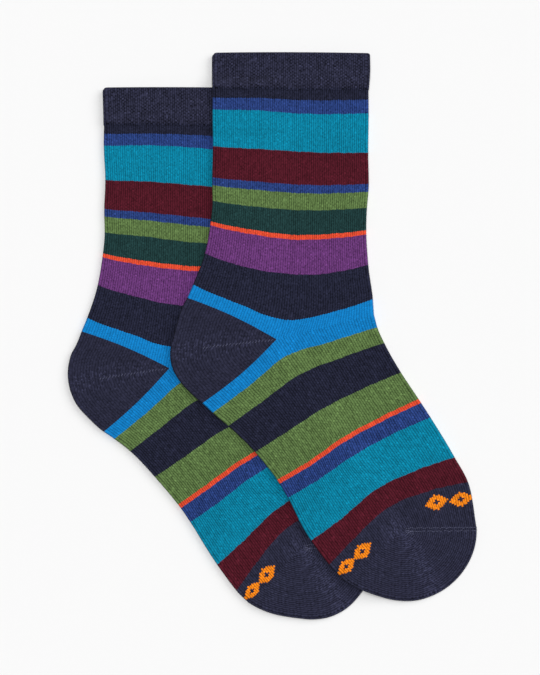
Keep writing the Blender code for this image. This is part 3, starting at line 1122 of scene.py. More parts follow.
@dataclass
class Cuff(Tube):
    """The welt: turned double, with a rounded mouth, thinning into the leg below.

    Attributes:
        rim_angles: Where round the mouth's rim its rows lie, in degrees.
        hem_angles: Where round the hem's edge its rows lie, in degrees.
        hem_round: How large that edge's rounding is.
        hem_thickness: The wall's thickness at the hem.
        hem_courses: Over how many courses the wall thins to it.
        body_rows: Rows of points between the rim and the hem.
        corner_round: How large the rounded corner in plan is.
        corner_fullness: How round that corner is: 0 for a square one, 1 for a round one.
        courses_per_metre: How close the welt's courses lie.
    """

    part: Part = Part.CUFF
    slot: Slot = Slot.CUFF_RIB
    cut: Cut = Cut(0.144, 0.0174)
    lies_on: tuple[Part, ...] = (Part.CUFF,)
    wall: Wall = Wall(1.9 * MM)
    inner_rows: int = 10
    rim_angles: tuple[float, ...] = (0.0, 22.0, 45.0, 67.0, 90.0)
    hem_angles: tuple[float, ...] = (45.0, 90.0)
    hem_round: float = 0.12 * MM
    hem_thickness: float = 1.42 * MM
    hem_courses: float = 4.5
    body_rows: int = 30
    corner_round: float = 2.4 * MM
    corner_fullness: float = 0.75
    courses_per_metre: float = 24 / (17.3 * MM)

    def wall_at(self, number: float) -> Wall:
        """The wall at a course: double, but thinner where the welt joins the leg.

        Args:
            number: The course.

        Returns:
            The wall there.
        """
        start = self.last - self.hem_courses
        thinned = float(smoothstep((number - start) / self.hem_courses))
        return Wall(self.wall.thickness + thinned * (self.hem_thickness - self.wall.thickness))

    def rows(self) -> list[tuple[float, float, bool]]:
        """Course numbers and thickness shares round the mouth, down to the hem and back.

        Returns:
            The rows in order.
        """
        half = self.wall.thickness / 2
        rim = []
        for turn in np.radians(self.rim_angles):
            rim.append((half * (1 - math.cos(turn)) * self.courses_per_metre, math.sin(turn)))
        under_rim = rim[-1][0]
        edge = self.last - self.hem_round * self.courses_per_metre
        body = [(number, 1.0) for number in np.linspace(under_rim, edge, self.body_rows)[1:]]
        hem = []
        for turn in np.radians(self.hem_angles):
            drop = (1 - math.cos(turn)) * self.hem_round / (self.hem_thickness / 2)
            hem.append((edge + (self.last - edge) * math.sin(turn), 1.0 - drop))
        outer = [(number, share, True) for number, share in rim + body + hem]
        inner_numbers = np.linspace(self.last, under_rim, self.inner_rows)
        inner = [(number, 1.0, False) for number in inner_numbers]
        back = [(number, share, False) for number, share in reversed(rim[1:-1])]
        return outer + inner + back

    def ring(
        self, plan: np.ndarray, wales: np.ndarray, offset: np.ndarray, wall: Wall
    ) -> np.ndarray:
        """One ring of the welt, its corner rounded where the mouth meets the back fold.

        Args:
            plan: The course in plan, in metres.
            wales: Wale counts round the ring, from the back fold.
            offset: How far out from the middle of the wall each point lies.
            wall: The wall at this course.

        Returns:
            The ring's points in the pair's frame.
        """
        ring = super().ring(plan, wales, offset, wall)
        corner = self.table[0].back + self.lay.place
        centre = corner + np.array([self.corner_round, -self.corner_round])
        out = ring[:, :2] - centre
        in_corner = (out[:, 0] < 0.0) & (out[:, 1] > 0.0)
        length = np.maximum(np.linalg.norm(out, axis=1), TINY)
        square = np.maximum(np.abs(out[:, 0]), np.abs(out[:, 1]))
        drawn = centre + out * ((square / length) ** self.corner_fullness)[:, None]
        ring[:, :2] = np.where(in_corner[:, None], drawn, ring[:, :2])
        return ring


@dataclass
class Leg(Tube):
    """The striped leg."""

    part: Part = Part.LEG
    slot: Slot = Slot.STRIPED_KNIT
    cut: Cut = Cut(0.144, 0.115)
    lies_on: tuple[Part, ...] = (Part.CUFF, Part.LEG)


@dataclass
class Foot(Tube):
    """The striped foot, whose last courses rise into the toe seam on the instep.

    Attributes:
        toe_start: The course at which the toe's navy starts.
        toe_pitch: How far apart its courses are.
        seam_rise: How high the seam's ridge stands.
        seam_reach: Over how many courses it rises.
        seam_fades: Over how many wales it rises from the mid wale, and falls to the front fold.
        seam_rows: How far beyond the seam each of its two rows of loops lies.
        row_seeds: What sets the rows' unevenness apart.
        seam_loops: Loops to a row.
        first_loop: Wales from the mid wale to the first loop.
        loop_pitch: Wales from one loop to the next.
        loop_span: Wales that a loop spans.
        loop_lean: How far a loop leans at most.
        loop_shift: How far a loop stands off its row at most.
        missed_above: The unevenness above which the second row misses a loop.
        loop_width: How thick a loop is.
        loop_change: How much thicker or thinner it may be.
        loop_lift: How far a loop's middle lies above the cloth.
        toe_step: How high the toe's cloth beyond the seam lies.
        knot_loops: Loops in the loose knot at the seam's start.
        knot_start: Wales from the mid wale to the knot.
        knot_pitch: Wales from one of its loops to the next.
        knot_span: Wales that one of its loops spans.
        knot_middle: How far beyond the seam it lies.
        knot_spread: How far its loops stray from there.
        knot_lean: How far one of its loops leans.
    """

    part: Part = Part.FOOT
    slot: Slot = Slot.STRIPED_KNIT
    cut: Cut = Cut(0.158, 0.106)
    lies_on: tuple[Part, ...] = (Part.FOOT, Part.TOE)
    toe_start: int = 124
    toe_pitch: float = 0.76 * MM
    seam_rise: float = 0.3 * MM
    seam_reach: float = 2.6
    seam_fades: tuple[float, float] = (3.0, 2.0)
    seam_rows: tuple[float, float] = (-0.8 * MM, 0.6 * MM)
    row_seeds: tuple[int, int] = (0, 5)
    seam_loops: int = 34
    first_loop: float = 1.5
    loop_pitch: float = 1.02
    loop_span: float = 0.8
    loop_lean: float = 0.22 * MM
    loop_shift: float = 0.14 * MM
    missed_above: float = 0.9
    loop_width: float = 0.26 * MM
    loop_change: float = 0.07 * MM
    loop_lift: float = 0.04 * MM
    toe_step: float = 0.2 * MM
    knot_loops: int = 11
    knot_start: float = 0.5
    knot_pitch: float = 0.36
    knot_span: float = 0.4
    knot_middle: float = 0.6 * MM
    knot_spread: float = 0.75 * MM
    knot_lean: float = 0.5 * MM

    def outward(self, number: float, wales: np.ndarray) -> np.ndarray:
        """The outside, with the toe seam's ridge on the near panel's front half.

        Args:
            number: The row's course.
            wales: Wale counts round the row, from the back fold.

        Returns:
            Distances in metres.
        """
        rise = smoothstep((wales - HALF_PANEL) / self.seam_fades[0])
        fall = smoothstep((WALES / 2 - wales) / self.seam_fades[1])
        return super().outward(number, wales) + rise * fall * self.seam_height(number)

    def seam_height(self, number: float) -> float:
        """How high the toe seam's ridge stands at a course."""
        before = self.last - number
        return self.seam_rise * math.exp(-((before / self.seam_reach) ** 2))

    def counts(self, number: float, wales: np.ndarray) -> np.ndarray:
        """Course counts, with more courses on the instep than on the sole beyond the stripes.

        Args:
            number: The row's course.
            wales: Wale counts round the row, from the back fold.

        Returns:
            A count for each wale.
        """
        beyond = max(number - self.toe_start, 0.0)
        first, last = courses(self.table, np.array([self.toe_start, self.last]))
        spans = np.linalg.norm((last - first)[:6].reshape(3, 2), axis=1) / self.toe_pitch
        near_wale = np.minimum(wales, WALES - wales)
        knots = np.array([0.0, HALF_PANEL, WALES / 2])
        rate = through(knots, spans, near_wale) / (self.last - self.toe_start)
        return super().counts(number, wales) + beyond * (rate - 1.0)

    def sewing(self) -> list[Bar]:
        """The two rows of loops along the toe seam, and the loose knot where they start.

        Returns:
            The seam's loops, then the knot's.
        """
        bars = []
        for index in range(self.seam_loops):
            wale = HALF_PANEL + self.first_loop + self.loop_pitch * index
            for row, seed in zip(self.seam_rows, self.row_seeds):
                lean = Pace.LEAN.at(index, seed)
                if seed and lean > self.missed_above:
                    continue
                off = row + self.loop_shift * Pace.SHIFT.at(index, seed)
                to = off + self.loop_lean * lean
                bars.append(self.bar(off, wale, to, wale + self.loop_span, index + seed))
        for index in range(self.knot_loops):
            wale = HALF_PANEL + self.knot_start + self.knot_pitch * index
            off = self.knot_middle + self.knot_spread * Pace.TANGLE.at(index)
            to = off + self.knot_lean
            bars.append(self.bar(off, wale, to, wale + self.knot_span, index))
        return bars

    def bar(self, off: float, wale: float, to: float, to_wale: float, index: int) -> Bar:
        """A loop from one place to another, a little thicker or thinner than its neighbours.

        Args:
            off: How far beyond the seam it starts, in metres.
            wale: The wale where it starts.
            to: How far beyond the seam it ends, in metres.
            to_wale: The wale where it ends.
            index: Its number, which sets its thickness.

        Returns:
            The loop.
        """
        width = self.loop_width + self.loop_change * Pace.THICKNESS.at(index)
        return Bar(self.by_seam(off, wale), self.by_seam(to, to_wale), width)

    def by_seam(self, off: float, wale: float) -> np.ndarray:
        """The point on the cloth at a wale, that many metres beyond the toe seam.

        Args:
            off: How far beyond the seam.
            wale: The wale.

        Returns:
            The point in the pair's frame.
        """
        before, seam = courses(self.table, np.array([self.last - 1.0, self.last]))
        stride = (seam - before)[2:6].reshape(2, 2)
        toward_front = (wale - HALF_PANEL) / HALF_PANEL
        pitch = np.linalg.norm(stride[0] + (stride[1] - stride[0]) * toward_front)
        number = self.last + off / pitch
        height = self.toe_step if off > 0 else self.seam_height(number)
        return self.place(number, wale, height + self.loop_lift)


@dataclass
class Pocket(Section):
    """A fan of short courses about an apex: the heel or the toe.

    Attributes:
        fan_rows: Rows of points round the fan on its outside.
        growth: Courses that it gains at each wale from the apex before its gore.
        apex_wales: Over how many wales from the apex the ribs rise.
    """

    slot: Slot = Slot.PLAIN_KNIT
    wall: Wall = Wall(1.4 * MM)
    inner_rows: int = 10
    fan_rows: int = 48
    growth: float = HEEL_GROWTH
    apex_wales: float = 3.0

    @property
    def table(self) -> tuple[Reach, ...]:
        """The pocket's outline."""
        return getattr(self.pattern, self.part.title)

    @property
    def gore(self) -> float:
        """The share of the fan at which the gore lies."""
        raise NotImplementedError

    def corners(self) -> tuple[np.ndarray, np.ndarray, np.ndarray]:
        """The apex and the ends of the first and last course, in metres."""
        raise NotImplementedError

    def sags(self) -> tuple[float, float]:
        """How far the first and the last course bend, in metres."""
        return 0.0, 0.0

    def fan(self, shares: np.ndarray) -> list[HalfLine]:
        """Short courses from the rim to the apex, at the given shares of the fan.

        Args:
            shares: 0 at the first course, 1 at the last.

        Returns:
            A line for each.
        """
        apex, first, last = self.corners()
        ways = [first - apex, last - apex]
        turns = [math.degrees(math.atan2(way[1], way[0])) % 360.0 for way in ways]
        if turns[1] < turns[0]:
            turns[1] += 360.0
        knots = np.array([turns[0]] + [reach.turn for reach in self.table] + [turns[1]])
        reaches = [reach.length * MM for reach in self.table]
        lengths = [np.linalg.norm(ways[0])] + reaches + [np.linalg.norm(ways[1])]
        at = turns[0] + (turns[1] - turns[0]) * shares
        reach = through(knots, np.array(lengths), at)
        turned = np.radians(at)
        edges = apex + reach[:, None] * np.stack([np.cos(turned), np.sin(turned)], axis=1)
        first_sag, last_sag = self.sags()
        sags = first_sag * (1.0 - shares) ** 2 + last_sag * shares**2
        return [HalfLine.bent(edge, apex, sag) for edge, sag in zip(edges, sags)]

    def outward(self, wales: np.ndarray) -> np.ndarray:
        """How far the outside lies from the middle of the wall; smooth close to the apex.

        Args:
            wales: Wale counts from the near apex.

        Returns:
            Distances in metres.
        """
        from_apex = HALF_PANEL - np.abs(HALF_PANEL - wales)
        ribs = self.relief.inward(wales) * smoothstep(from_apex / self.apex_wales)
        return self.wall.thickness / 2 - ribs

    def counts(self, share: float, wales: np.ndarray, before_gore: bool) -> np.ndarray:
        """Course counts along a short row, from the first course or back from the last.

        Args:
            share: The row's share of the fan.
            wales: Wale counts from the near apex.
            before_gore: Whether to count from the first course.

        Returns:
            A count for each wale.
        """
        from_apex = HALF_PANEL - np.abs(HALF_PANEL - wales)
        here = 2.0 * self.growth * from_apex
        last = 2.0 * self.growth * HALF_PANEL
        reached = 0.5 * share / self.gore
        left = 0.5 * (1.0 - share) / (1.0 - self.gore)
        return self.part.value + (here * reached if before_gore else last - here * left)

    def strip(self, spoke: HalfLine, wales: np.ndarray, offset: np.ndarray) -> np.ndarray:
        """A short course from the near apex over the fold to the far one, laid down.

        Args:
            spoke: The short course in plan.
            wales: Wale counts from the near apex.
            offset: How far out from the middle of the wall each point lies.

        Returns:
            The points in the pair's frame.
        """
        near = wales <= HALF_PANEL
        from_fold = np.abs(HALF_PANEL - wales)
        strip = self.wall.wrap(spoke, from_fold / HALF_PANEL, near, offset)
        return self.laid(strip, from_fold, near)

    def shell(self) -> Shell:
        """Work out the pocket's cloth.

        Returns:
            The shell.
        """
        wales = ring_wales(closed=False)
        before = round(self.fan_rows * self.gore)
        to_gore = np.linspace(0.0, self.gore, before + 1)
        from_gore = np.linspace(self.gore, 1.0, self.fan_rows - before + 1)
        outer = np.concatenate([to_gore, from_gore[1:]])
        inner = np.linspace(1.0, 0.0, self.inner_rows)
        shares = np.concatenate([outer, inner, outer[:1]])
        outside = [True] * len(outer) + [False] * len(inner) + [True]
        out = self.outward(wales)
        inwards = np.full(len(wales), -self.wall.thickness / 2)
        points, starts, ends = [], [], []
        for index, (spoke, share) in enumerate(zip(self.fan(shares), shares)):
            points.append(self.strip(spoke, wales, out if outside[index] else inwards))
            starts.append(np.column_stack([wales, self.counts(share, wales, index < before)]))
            ends.append(np.column_stack([wales, self.counts(share, wales, index <= before)]))
        return Shell(np.array(points), np.array(starts), np.array(ends))


@dataclass
class Heel(Pocket):
    """The heel pocket.

    Attributes:
        loops: Slack loops across the gore.
        first_loop: Wales from the apex to the first of them.
        loop_pitch: Wales from one to the next.
        loop_reach: Courses that a loop reaches across the gore.
        reach_limit: Wales from the apex within which that reach no longer widens.
        loop_half: Half the wales that a loop spans.
        half_change: How many more or fewer that may be.
        shift_share: The share of its reach by which a loop may stand off the gore.
        loop_lift: How far a loop's middle lies above the cloth.
        loop_width: How thick a loop is.
        width_change: How much thicker or thinner it may be.
    """

    part: Part = Part.HEEL
    cut: Cut = Cut(0.096, 0.047, 0.0026)
    lies_on: tuple[Part, ...] = (Part.LEG, Part.FOOT)
    loops: int = 22
    first_loop: float = 1.5
    loop_pitch: float = 1.1
    loop_reach: float = 1.3
    reach_limit: float = 3.0
    loop_half: float = 0.34
    half_change: float = 0.08
    shift_share: float = 0.25
    loop_lift: float = 0.03 * MM
    loop_width: float = 0.25 * MM
    width_change: float = 0.07 * MM

    @property
    def gore(self) -> float:
        """The share of the fan at which the gore lies."""
        return self.pattern.gores[0]

    def corners(self) -> tuple[np.ndarray, np.ndarray, np.ndarray]:
        """The apex, and the back ends of the leg's last and the foot's first course."""
        above, below = self.pattern.leg[-1], self.pattern.foot[0]
        return above.mid, above.back, below.back

    def sags(self) -> tuple[float, float]:
        """The bends of the leg's last and the foot's first course."""
        return self.pattern.leg[-1].sag * MM, self.pattern.foot[0].sag * MM

    def place(self, share: float, from_apex: float) -> np.ndarray:
        """The point of a loop on the near panel, that many wales from the apex.

        Args:
            share: The share of the fan.
            from_apex: Wales from the apex.

        Returns:
            The point in the pair's frame.
        """
        spoke = self.fan(np.array([share]))[0]
        offset = np.full(1, self.wall.thickness / 2 + self.loop_lift)
        return self.strip(spoke, np.array([from_apex]), offset)[0]

    def sewing(self) -> list[Bar]:
        """The slack loops that lean across the gore.

        Returns:
            The loops, from the apex out.
        """
        bars = []
        for index in range(self.loops):
            middle = self.first_loop + self.loop_pitch * index
            courses_here = 2.0 * self.growth * max(middle, self.reach_limit)
            across = 0.5 * self.loop_reach / courses_here
            half = self.loop_half + self.half_change * Pace.GORE_LENGTH.at(index)
            share = self.gore + self.shift_share * across * Pace.GORE_SHIFT.at(index)
            start = self.place(share - across, middle - half)
            end = self.place(share + across, middle + half)
            width = self.loop_width + self.width_change * Pace.GORE_THICKNESS.at(index)
            bars.append(Bar(start, end, width))
        return bars


@dataclass
class Toe(Pocket):
    """The toe pocket, from the sole's last course round to the toe seam."""

    part: Part = Part.TOE
    cut: Cut = Cut(0.070, 0.048, 0.0027)
    lies_on: tuple[Part, ...] = (Part.TOE,)
    fan_rows: int = 84
    growth: float = TOE_GROWTH

    @property
    def gore(self) -> float:
        """The share of the fan at which the gore lies."""
        return self.pattern.gores[1]

    def corners(self) -> tuple[np.ndarray, np.ndarray, np.ndarray]:
        """The apex, and the back and front ends of the foot's last course."""
        seam = self.pattern.foot[-1]
        return seam.mid, seam.back, seam.front


class Seed(Enum):
    """What keeps the random draws for single stitches apart."""

    STITCH = 1.0
    PALE = 2.0
    DASH = 3.0
    SLACK = 4.0
    WALE = 7.0


class Patch(Enum):
    """Soft patches of tone: how fast each changes by the wale and by the course, and its seed."""

    STREAK = (0.83, 0.07, 5.0)
    CLOUD = (0.06, 0.05, 9.0)


class Shader:
    """A short hand for building a material's nodes."""

    def __init__(self, name: str) -> None:
        """Start a material with a Principled shader.

        Args:
            name: The material's name.
        """
        self.material = bpy.data.materials.new(name)
        self.material.use_nodes = True
        self.tree = self.material.node_tree
        self.surface = self.tree.nodes["Principled BSDF"]

    def set(self, name: str, value: Feed) -> None:
        """Feed or set a socket of the Principled shader."""
        self.link(value, self.surface.inputs[name])

    def link(self, value: Feed, socket: Socket) -> None:
        """Feed a socket from another socket, or set it to a constant.

        Args:
            value: The other socket, or the constant.
            socket: The socket to feed.
        """
        if isinstance(value, Socket):
            self.tree.links.new(value, socket)
        else:
            socket.default_value = value

    def math(self, operation: str, *values: Feed) -> Socket:
        """A Math node's result.

        Args:
            operation: What the node does.
            *values: What it works on, in order.

        Returns:
            Its output.
        """
        node = self.tree.nodes.new("ShaderNodeMath")
        node.operation = operation
        for value, socket in zip(values, node.inputs):
            self.link(value, socket)
        return node.outputs[0]

    def apart(self, first: Feed, second: Feed) -> Socket:
        """How far apart two numbers are."""
        return self.math("ABSOLUTE", self.math("SUBTRACT", first, second))

    def smooth(self, value: Feed, low: float, high: float) -> Socket:
        """A smooth step from 0 at low to 1 at high.

        Args:
            value: The value to read.
            low: Where the step starts.
            high: Where it ends.

        Returns:
            The step's height there.
        """
        node = self.tree.nodes.new("ShaderNodeMapRange")
        node.interpolation_type = "SMOOTHSTEP"
        self.link(value, node.inputs["Value"])
        node.inputs["From Min"].default_value = low
        node.inputs["From Max"].default_value = high
        return node.outputs[0]

    def mix(self, share: Feed, first: Feed, second: Feed) -> Socket:
        """A mix of two colours.

        Args:
            share: The second colour's share.
            first: One colour.
            second: The other.

        Returns:
            The mixed colour.
        """
        node = self.tree.nodes.new("ShaderNodeMix")
        node.data_type = "RGBA"
        sockets = [socket for socket in node.inputs if socket.enabled]
        for value, socket in zip((share, first, second), sockets):
            self.link(value, socket)
        return [socket for socket in node.outputs if socket.enabled][0]

    def vector(self, x: Feed, y: Feed, z: Feed) -> Socket:
        """A vector from its parts.

        Args:
            x: The first part.
            y: The second.
            z: The third.

        Returns:
            The vector.
        """
        node = self.tree.nodes.new("ShaderNodeCombineXYZ")
        for value, socket in zip((x, y, z), node.inputs):
            self.link(value, socket)
        return node.outputs[0]

    def attribute(self, name: str) -> tuple[Socket, Socket]:
        """The first two parts of a vector attribute.

        Args:
            name: The attribute's name.

        Returns:
            The two parts.
        """
        node = self.tree.nodes.new("ShaderNodeAttribute")
        node.attribute_name = name
        parts = self.tree.nodes.new("ShaderNodeSeparateXYZ")
        self.tree.links.new(node.outputs["Vector"], parts.inputs[0])
        return parts.outputs[0], parts.outputs[1]

    def random(self, seed: Seed, x: Feed, y: Feed | None = None) -> Socket:
        """A random value from 0 to 1 for each place, or for each x alone if y isn't given.

        Args:
            seed: What keeps this draw apart from others.
            x: The first count.
            y: The second count, if there is one.

        Returns:
            The value.
        """
        node = self.tree.nodes.new("ShaderNodeTexWhiteNoise")
        node.noise_dimensions = "3D"
        line = seed.value if y is None else y
        self.link(self.vector(x, line, seed.value), node.inputs["Vector"])
        return node.outputs["Value"]

    def noise(self, x: Feed, y: Feed, seed: float) -> Socket:
        """Smooth noise about one half.

        Args:
            x: The place along the first axis.
            y: The place along the second.
            seed: The place along the third, which keeps noises apart.

        Returns:
            The noise there.
        """
        node = self.tree.nodes.new("ShaderNodeTexNoise")
        node.inputs["Scale"].default_value = 1.0
        node.inputs["Detail"].default_value = 2.0
        self.link(self.vector(x, y, seed), node.inputs["Vector"])
        return node.outputs[0]

    def patch(self, patch: Patch, wale: Feed, course: Feed) -> Socket:
        """Soft patches of noise about zero.

        Args:
            patch: Which patches.
            wale: The wale count.
            course: The course count.

        Returns:
            A tone from -0.5 to 0.5.
        """
        by_wale, by_course, seed = patch.value
        x = self.math("MULTIPLY", wale, by_wale)
        y = self.math("MULTIPLY", course, by_course)
        return self.math("SUBTRACT", self.noise(x, y, seed), 0.5)

    def stripes(self, share: Socket, stripes: Sequence[Stripe], last: int) -> tuple[Socket, Socket]:
        """The striped yarns.

        Args:
            share: The share of the stripes' courses at each place.
            stripes: The yarns.
            last: How many courses the stripes cover.

        Returns:
            The yarn's colour, and how heathered it is.
        """
        node = self.tree.nodes.new("ShaderNodeValToRGB")
        ramp = node.color_ramp
        ramp.interpolation = "CONSTANT"
        ramp.elements.remove(ramp.elements[1])
        for index, stripe in enumerate(stripes):
            spot = stripe.start / last
            stop = ramp.elements[0] if index == 0 else ramp.elements.new(spot)
            stop.position = spot
            stop.color = stripe.yarn.dyed
        self.link(share, node.inputs["Fac"])
        return node.outputs["Color"], node.outputs["Alpha"]


class Stitch(NamedTuple):
    """Where each place lies in the knitting, as sockets.

    wale counts round the sock. column is its whole wale, leg its half wale and row its whole
    course. side is how far the place lies from its wale's middle, from 0 to 0.5. leaned is the
    course count along the slant of the stitch's legs.
    """

    wale: Socket
    column: Socket
    leg: Socket
    side: Socket
    leaned: Socket
    row: Socket


class Lozenge(NamedTuple):
    """A stepped lozenge: its middle wale and course, half its size, and where it is hollow."""

    wale: float
    course: float
    width: float = 5.2
    height: float = 4.9
    hollow: float = 0.34

    def out(self, shader: Shader, stitch: Stitch) -> Socket:
        """How far out each stitch lies: 0 at the lozenge's middle, 1 at its edge.

        Args:
            shader: The material's nodes.
            stitch: Each place's stitch.

        Returns:
            That share.
        """
        across = shader.math("DIVIDE", shader.apart(stitch.column, self.wale), self.width)
        along = shader.apart(stitch.row, self.course)
        return shader.math("MULTIPLY_ADD", along, 1.0 / self.height, across)


@dataclass(frozen=True)
class Grain:
    """What every knitted finish shares.

    Attributes:
        wave_pace: How fast the rows' wandering changes from wale to wale.
        wave_line: The line and the seed of the noise that it is read from.
        lag: How far, in courses, a stitch is drawn behind its count.
        unflecked: The share of the stitches that have no pale fleck.
        cloud: How much lighter than its surroundings a cloud can be.
        valley_from: How far from a wale's middle the painted shade of its valley starts, in wales.
        plain_valley: How deep the painted shade in the valleys of plain yarn is beside that of
            heathered yarn.
        slack: How much lighter a slack stitch's painted glint makes it.
        gore_core: How far off its gore, in courses, a slack stitch's painted glint is as strong as
            on it.
        darkest: The least that the tone can be.
        arc: How much lower a stitch's leg is at its ends than in its middle.
        plumpness: How high a leg stands, in metres.
    """

    wave_pace: float = 0.11
    wave_line: tuple[float, float] = (3.0, 1.0)
    lag: float = 0.4
    unflecked: float = 0.93
    cloud: float = 0.1
    # Painted shade: the valleys between wales are darkened in the colour.
    valley_from: float = 0.26
    plain_valley: float = 0.25
    # Painted glint: how much lighter a slack stitch's colour is made.
    slack: float = 0.8
    gore_core: float = 0.5
    darkest: float = 0.15
    arc: float = 0.6
    plumpness: float = 0.2 * MM


@dataclass(frozen=True)
class KnitFinish:
    """A knitted cloth: its stripes, how its stitches look and how it takes the light.

    Attributes:
        name: The material's name.
        part: The section that wears it.
        stripes: The yarns, from the section's first course on.
        courses: How many courses the stripes cover.
        edge_yarn: The yarn of the stitches that reach in from the section before.
        edge_from: Wales from the front mid line beyond which they do.
        lozenges: The motifs knitted in.
        slant: How far, in courses, a stitch's legs lean.
        wave: How far, in courses, the rows wander.
        ragged: How far, in courses, a wale may stand off from the next.
        valley: How much painted shade darkens the cloth between its wales.
        each: How much lighter or darker single stitches are.
        dash: How fast they change along a wale: 1 for every course, less for long dashes.
        streak: How much lighter or darker the streaks along the wales are.
        fleck: How much lighter the pale flecks are.
        bump: How strongly the stitches stand up.
        tuck: How much lighter every other stitch is.
        shade: How light the cloth is on the whole.
        growth: In a pocket, the courses that its fan gains at each wale from the apex.
        gore_reach: How many courses off the gore the slack stitches with painted glints lie.
        gore_clear: How many wales about the apex have no painted glints.
        rarity: The share of the stitches there that get no painted glint.
        slack: Where else slack stitches with painted glints lie scattered.
        sheen: How strong the fibres' sheen is.
        sheen_roughness: How wide it is.
        roughness: How dull the cloth is.
        specular: How much of a plain reflection it has.
        grain: What it shares with the other finishes.
    """

    name: str
    part: Part
    stripes: tuple[Stripe, ...]
    courses: int
    edge_yarn: Yarn | None = None
    edge_from: float = -1.0
    lozenges: tuple[Lozenge, ...] = ()
    slant: float = 0.8
    wave: float = 1.6
    ragged: float = 0.3
    valley: float = 0.62
    each: float = 0.27
    dash: float = 1.0
    streak: float = 0.12
    fleck: float = 0.28
    bump: float = 0.5
    tuck: float = 0.15
    shade: float = 1.0
    growth: float | None = None
    gore_reach: float = 7.0
    gore_clear: float = 1.0
    rarity: float = 0.72
    slack: Lozenge | None = None
    sheen: float = 0.02
    sheen_roughness: float = 0.5
    roughness: float = 0.95
    specular: float = 0.08
    grain: Grain = Grain()

    @property
    def first(self) -> float:
        """Where the section's own rows start: the border between two whole counts."""
        return self.part.value - 0.5

    def build(self) -> bpy.types.Material:
        """Make the material.

        Returns:
            The material.
        """
        shader = Shader(self.name)
        stitch = self.stitch(shader)
        share = shader.math("SUBTRACT", stitch.row, self.first)
        share = shader.math("DIVIDE", share, float(self.courses))
        colour, heather = shader.stripes(share, self.stripes, self.courses)
        colour = self.edge(shader, stitch, colour)
        colour = self.motif(shader, stitch, colour)
        tone = shader.tree.nodes.new("ShaderNodeHueSaturation")
        shader.link(colour, tone.inputs["Color"])
        shader.link(self.tone(shader, stitch, heather), tone.inputs["Value"])
        shader.set("Base Color", tone.outputs[0])
        bump = shader.tree.nodes.new("ShaderNodeBump")
        bump.inputs["Strength"].default_value = self.bump
        bump.inputs["Distance"].default_value = self.grain.plumpness
        shader.link(self.height(shader, stitch), bump.inputs["Height"])
        shader.set("Normal", bump.outputs[0])
        shader.set("Roughness", self.roughness)
        shader.set("Sheen Weight", self.sheen)
        shader.set("Sheen Roughness", self.sheen_roughness)
        shader.set("Specular IOR Level", self.specular)
        return shader.material

    def stitch(self, shader: Shader) -> Stitch:
        """Work out each place's stitch from its counts, with wandering and uneven rows.

        Args:
            shader: The material's nodes.

        Returns:
            The counts, as sockets.
        """
        wale, course = shader.attribute("stitch")
        from_edge = shader.math("ADD", wale, 0.5)
        side = shader.apart(shader.math("FRACT", from_edge), 0.5)
        column = shader.math("FLOOR", from_edge)
        leg = shader.math("FLOOR", shader.math("MULTIPLY", wale, 2.0))
        pace = shader.math("MULTIPLY", wale, self.grain.wave_pace)
        wave = shader.noise(pace, *self.grain.wave_line)
        waved = shader.math("MULTIPLY_ADD", wave, self.wave, course)
        uneven = shader.random(Seed.WALE, column)
        waved = shader.math("MULTIPLY_ADD", uneven, self.ragged, waved)
        lag = self.grain.lag + 0.5 * self.ragged
        behind = shader.math("MULTIPLY_ADD", side, self.slant, lag)
        leaned = shader.math("SUBTRACT", waved, behind)
        return Stitch(wale, column, leg, side, leaned, shader.math("FLOOR", leaned))

    def edge(self, shader: Shader, stitch: Stitch, colour: Socket) -> Socket:
        """The stitches of the section before that reach over the border.

        Args:
            shader: The material's nodes.
            stitch: Each place's stitch.
            colour: The colour so far.

        Returns:
            The colour with them.
        """
        if self.edge_yarn is None:
            return colour
        before = shader.math("LESS_THAN", stitch.row, self.first)
        from_front = shader.apart(stitch.wale, WALES / 2)
        there = shader.math("GREATER_THAN", from_front, self.edge_from)
        return shader.mix(shader.math("MULTIPLY", before, there), colour, self.edge_yarn.dyed)

    def motif(self, shader: Shader, stitch: Stitch, colour: Socket) -> Socket:
        """Stepped lozenges knitted in.

        Args:
            shader: The material's nodes.
            stitch: Each place's stitch.
            colour: The colour so far.

        Returns:
            The colour with them.
        """
        for lozenge in self.lozenges:
            out = lozenge.out(shader, stitch)
            inside = shader.math("LESS_THAN", out, 1.0)
            solid = shader.math("GREATER_THAN", out, lozenge.hollow)
            colour = shader.mix(shader.math("MULTIPLY", inside, solid), colour, Yarn.AMBER.dyed)
        return colour

    def tone(self, shader: Shader, stitch: Stitch, heather: Socket) -> Socket:
        """How light each place is: uneven stitches and wales, pale flecks, painted valley shade and
        painted glints.

        Args:
            shader: The material's nodes.
            stitch: Each place's stitch.
            heather: How heathered its yarn is.

        Returns:
            A factor on the yarn's colour.
        """
        mottle = self.mottle(shader, stitch)
        level = shader.math("MULTIPLY_ADD", mottle, heather, self.shade)
        streak = shader.patch(Patch.STREAK, stitch.column, stitch.row)
        level = shader.math("MULTIPLY_ADD", streak, 2.0 * self.streak, level)
        cloud = shader.patch(Patch.CLOUD, stitch.wale, stitch.row)
        level = shader.math("MULTIPLY_ADD", cloud, self.grain.cloud, level)
        # Painted shade: the colour is darkened in the valleys between wales, more so in heathered
        # yarn.
        valley = shader.smooth(stitch.side, self.grain.valley_from, 0.5)
        valley_shade = shader.math("MULTIPLY", valley, self.valley)
        plain = self.grain.plain_valley
        shade_weight = shader.math("MULTIPLY_ADD", heather, 1.0 - plain, plain)
        level = shader.math("SUBTRACT", level, shader.math("MULTIPLY", valley_shade, shade_weight))
        level = self.tucked(shader, stitch, heather, level)
        # Painted glints on scattered slack stitches about a pocket's gores and in the foot's patch.
        if self.growth is not None:
            level = self.slackened(shader, stitch, self.off_gore(shader, stitch), level)
        if self.slack is not None:
            beyond = shader.smooth(self.slack.out(shader, stitch), 0.0, 1.0)
            level = self.slackened(shader, stitch, beyond, level)
        return shader.math("MAXIMUM", level, self.grain.darkest)

